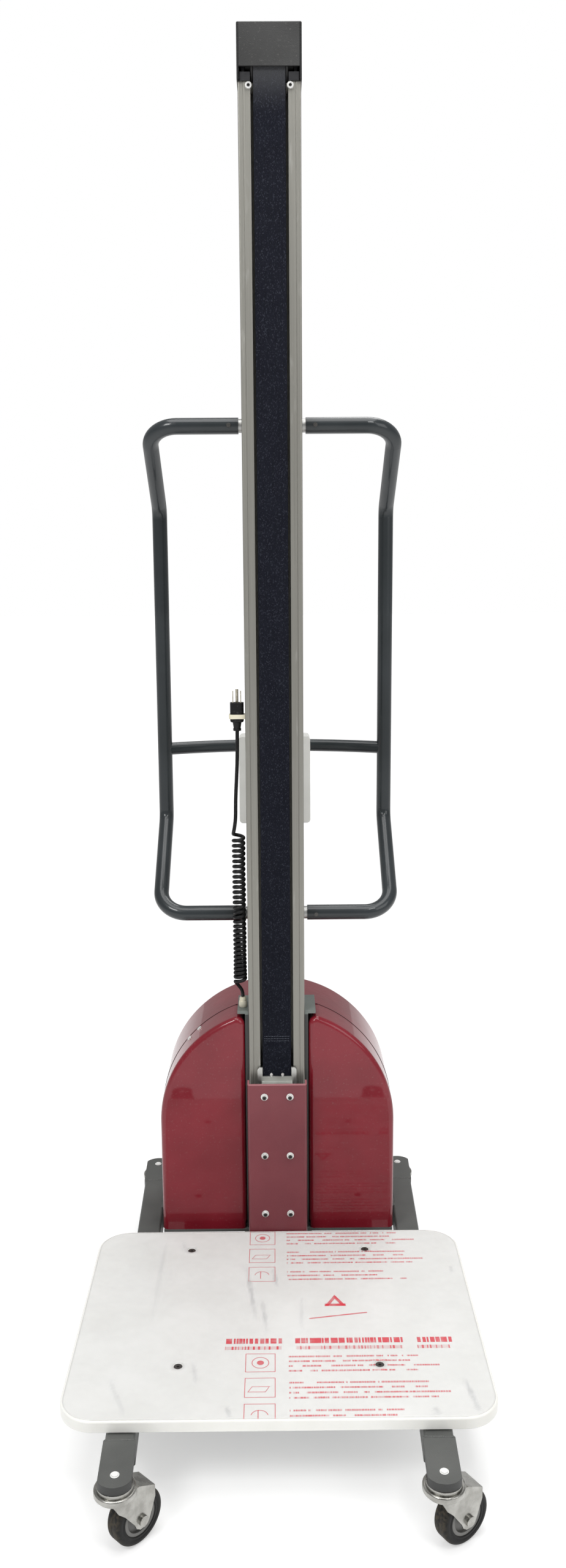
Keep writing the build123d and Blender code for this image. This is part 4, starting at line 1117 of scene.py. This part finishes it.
# %% [markdown]
# ## Strap stitches
# Below the pulley the webbing is folded back and sewn with three rows of heavy thread, which show as
# short bright dashes. A grid of points gives the rows, a little random shift keeps them from
# looking printed, and each point gets a flattened bead half sunk in the weave.

# %% Stitches
STITCH_Z = 0.4655
STITCH_ROWS = 3


def stitch_tree(g, given):
    grid = g.node("GeometryNodeMeshGrid", {}, {"Size X": given["Width"], "Size Y": given["Depth"],
                                               "Vertices X": given["Count"], "Vertices Y": STITCH_ROWS})
    stray = g.node("ShaderNodeCombineXYZ", {}, {0: given["Stray"], 1: given["Stray"]})
    back = g.node("ShaderNodeVectorMath", {"operation": "SCALE"}, {0: stray, "Scale": -1.0})
    random = g.node("FunctionNodeRandomValue", {"data_type": "FLOAT_VECTOR"},
                    {"Min": back, "Max": stray, "Seed": given["Seed"]})
    moved = g.node("GeometryNodeSetPosition", {}, {"Geometry": grid, "Offset": random})
    thread = bead(g, given["Length"] / 2, given["Thickness"] / 2, given["Thickness"] / 2)
    copies = g.node("GeometryNodeInstanceOnPoints", {}, {"Points": moved, "Instance": thread})
    stood = g.node("GeometryNodeTransform", {}, {"Geometry": copies, "Rotation": (pi / 2, 0.0, 0.0),
                                                 "Translation": (0.0, strap_low.y, STITCH_Z)})
    return closed_off(g, stood, given["Thread"])


def thread_finish():
    f = Finish("strap_thread")
    ply = f.cloud(1.0, 2.0, stretch=(1400.0, 1400.0, 1400.0))
    shade = f.mix(f.between(ply, 0.4, 0.6), (0.085, 0.095, 0.120, 1), (0.150, 0.165, 0.200, 1))
    f.shade(Base_Color=shade, Roughness=0.55 + 0.2 * ply, Normal=f.bump(ply, 0.0002))


thread_finish()
mesh = grown("strap_stitching", {"Width": 0.040, "Depth": 0.0080, "Count": 16, "Length": 0.0020,
                                 "Thickness": 0.0007, "Stray": 0.00018, "Seed": 7,
                                 "Thread": finishes["strap_thread"]}, stitch_tree)
stitching = piece("strap_stitching", mesh, "strap_thread")
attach(stitching, "carriage")
print("stitches", len(mesh.polygons), "faces")

# %% [markdown]
# ## The cord's gland
# The charging cord leaves the top plate through a small ivory nylon gland: a ribbed nut with a
# domed cap. Its profile is turned, and its grip ribs are thin rods set half into the nut's side.

# %% Gland
gland_low, gland_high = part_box("cord_gland")
GLAND_STEPS = 48
RIB_MIDDLE = 0.0054          # above the gland's foot


def gland_body():
    """The nut, its shoulder and its domed cap, as rings of a lathe round the gland's axis."""
    centre = (gland_low + gland_high) / 2
    tall = gland_high.z - gland_low.z
    r = (gland_high.x - gland_low.x) / 2
    profile = [(0.90, 0.0), (0.93, 0.03), (0.93, 0.56), (0.90, 0.60), (0.80, 0.62), (0.80, 0.66),
               (0.84, 0.68), (0.84, 0.76), (0.79, 0.86), (0.69, 0.94), (0.57, 0.985), (0.48, 1.0),
               (0.46, 0.96), (0.46, 0.70)]
    rings = []
    for share, up in profile:
        around = [2 * pi * n / GLAND_STEPS for n in range(GLAND_STEPS)]
        rings.append([(centre.x + r * share * cos(a), centre.y + r * share * sin(a),
                       gland_low.z + tall * up) for a in around])
    return loft("gland_body", rings, False)


def rib_tree(g, given):
    circle = g.node("GeometryNodeMeshCircle", {}, {"Vertices": given["Count"], "Radius": given["Radius"]})
    rod = bead(g, given["Rib"] / 2, given["Rib"] / 2, given["Height"] / 2)
    copies = g.node("GeometryNodeInstanceOnPoints", {}, {"Points": circle, "Instance": rod})
    place = (gland_low + gland_high) / 2
    stood = g.node("GeometryNodeTransform", {}, {"Geometry": copies,
                                                 "Translation": (place.x, place.y,
                                                                 gland_low.z + RIB_MIDDLE)})
    both = g.tree.nodes.new("GeometryNodeJoinGeometry")
    g.tree.links.new(stood.socket, both.inputs[0])
    g.tree.links.new(given["Start"].socket, both.inputs[0])
    return closed_off(g, Value(g, both.outputs[0]), given["Nylon"])


mesh = grown("ribbed_gland", {"Count": 20, "Radius": 0.0064, "Rib": 0.0013, "Height": 0.0098,
                              "Nylon": finishes["ivory_nylon"]}, rib_tree, gland_body())
gland = piece("ribbed_gland", mesh, "ivory_nylon")
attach(gland, "frame")
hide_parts("cord_gland")
print("gland faces", len(mesh.polygons))

# %% [markdown]
# ## Weld beads
# Each end plate is welded round its leg tube. A hand laid bead is a row of overlapping ripples, so
# the path round the tube is resampled and a flattened bead is set on each point of it.

# %% Welds
LEG_AXIS = 0.2252            # a leg's middle line where it passes the mast's front face
LEG_HALF = 0.0200
LEG_TOP = 0.1120
PLATE_UNDER = 0.1000
TUBE_ENDS = (-0.5120, 0.1840)
TOE_IN = radians(1.5)
WELD_SINK = 0.0009           # depth of a bead's middle line below the skin


def weld_path(side, end):
    """Mesh line up one side of a leg's end, across its top and down the other side."""
    x = LEG_HALF - WELD_SINK
    high = LEG_TOP - WELD_SINK
    corners = []
    for across, up in ((-x, PLATE_UNDER), (-x, high), (x, high), (x, PLATE_UNDER)):
        corners.append((side * (LEG_AXIS + across * cos(TOE_IN) + end * sin(TOE_IN)),
                        FRONT - across * sin(TOE_IN) + end * cos(TOE_IN), up))
    path = bpy.data.meshes.new("weld_path")
    path.from_pydata(corners, [(0, 1), (1, 2), (2, 3)], [])
    return path


def weld_tree(g, given):
    line = g.node("GeometryNodeMeshToCurve", {}, {0: given["Start"]})
    spaced = g.node("GeometryNodeResampleCurve", {}, {"Curve": line, "Count": given["Count"]})
    uneven = g.node("FunctionNodeRandomValue", {"data_type": "FLOAT"},
                    {2: 0.85, 3: 1.15, "Seed": given["Seed"]}, out=1)
    ripple = bead(g, given["Radius"], given["Radius"], given["Radius"])
    copies = g.node("GeometryNodeInstanceOnPoints", {}, {"Points": spaced, "Instance": ripple,
                                                         "Scale": uneven})
    return closed_off(g, copies, given["Paint"])


number = 0
for side, side_name in SIDES:
    for end, end_name in zip(TUBE_ENDS, ("front", "rear")):
        number += 1
        name = f"{side_name}_{end_name}_weld"
        mesh = grown(name, {"Count": 44, "Radius": 0.0019, "Seed": number,
                            "Paint": finishes["leg_paint"]}, weld_tree, weld_path(side, end))
        weld = piece(name, mesh, "leg_paint")
        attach(weld, "frame")
        print(name, "faces", len(mesh.polygons))

# %% [markdown]
# The cord's curve gets its black finish and is tied to the frame.

cord.data.materials.append(finishes["cord_rubber"])
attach(cord, "frame")
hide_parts("cord_tail", "cord_curl", "cord_lead")
print("cord from", [round(c, 4) for c in route[0]], "to", [round(c, 4) for c in route[-1]])

# %% [markdown]
# ## Studio
# A pale seamless floor and large soft lights suit painted metal: each light shows as a broad band
# on the rounded edges. The key light stands at the front left, a wide one hangs overhead, three more
# fill the front right and the back, and the pale world keeps every shadow open. To the camera alone
# the world and the floor's far part are white, so that no horizon shows.

# %% Studio
FLOOR_HALF = 30.0
FLOOR_NEAR = 2.0             # square of the distance where the floor begins to turn white
FLOOR_FAR = 30.0             # and where it is white
WORLD_LIGHT = 0.40           # the world's strength as a light; the camera sees 1


def area_light(name, place, aim, size, power):
    lamp = bpy.data.lights.new(name, "AREA")
    lamp.shape = "SQUARE"
    lamp.size = size
    lamp.energy = power
    made = bpy.data.objects.new(name, lamp)
    made.location = place
    made.rotation_euler = (Vector(aim) - Vector(place)).to_track_quat("-Z", "Y").to_euler()
    bpy.context.scene.collection.objects.link(made)


def studio_floor():
    """A wide pale sheet, with a faint mottle like sealed concrete."""
    f = Finish("studio_floor")
    mottle = f.cloud(3.0, 4.0)
    shade = f.mix(f.between(mottle, 0.35, 0.65), (0.70, 0.70, 0.70, 1), (0.73, 0.73, 0.73, 1))
    east, north, _ = f.split(f.place)
    far = f.between(east * east + north * north, FLOOR_NEAR, FLOOR_FAR)
    seen = f.node("ShaderNodeLightPath", out="Is Camera Ray")
    glow = f.mix(far * seen, (0.42, 0.42, 0.42, 1), (0.80, 0.80, 0.80, 1))
    f.shade(Base_Color=shade, Roughness=0.55 + 0.1 * mottle, Emission_Color=glow,
            Emission_Strength=1.0)
    sheet = bpy.data.meshes.new("studio_floor")
    corners = [(FLOOR_HALF * x, FLOOR_HALF * y, 0) for x, y in ((-1, -1), (1, -1), (1, 1), (-1, 1))]
    sheet.from_pydata(corners, [], [(0, 1, 2, 3)])
    sheet.materials.append(f.material)
    floor_sheet = bpy.data.objects.new("studio_floor", sheet)
    bpy.context.scene.collection.objects.link(floor_sheet)


studio_floor()
world = bpy.data.worlds.new("studio_world")
world.use_nodes = True
sky = world.node_tree.nodes["Background"]
sky.inputs["Color"].default_value = (1.0, 1.0, 1.0, 1)
backdrop = Graph(world.node_tree)
straight = backdrop.node("ShaderNodeLightPath", out="Is Camera Ray")
strength = WORLD_LIGHT + (1 - WORLD_LIGHT) * straight
backdrop.tree.links.new(strength.socket, sky.inputs["Strength"])
bpy.context.scene.world = world
bpy.context.scene.view_settings.view_transform = "Standard"
area_light("key_light", (-1.9, -2.4, 3.3), (0.0, 0.0, 0.9), 1.1, 54.0)
area_light("fill_light", (2.6, -2.2, 2.4), (0.0, 0.0, 0.9), 2.0, 28.0)
area_light("top_light", (0.0, -0.4, 4.0), (0.0, -0.4, 0.0), 2.5, 72.0)
area_light("back_light", (0.8, 2.2, 4.4), (0.0, 0.0, 1.0), 1.6, 40.0)
area_light("spark_light", (0.9, -1.9, 3.4), (0.0, 0.0, 0.9), 0.5, 14.0)
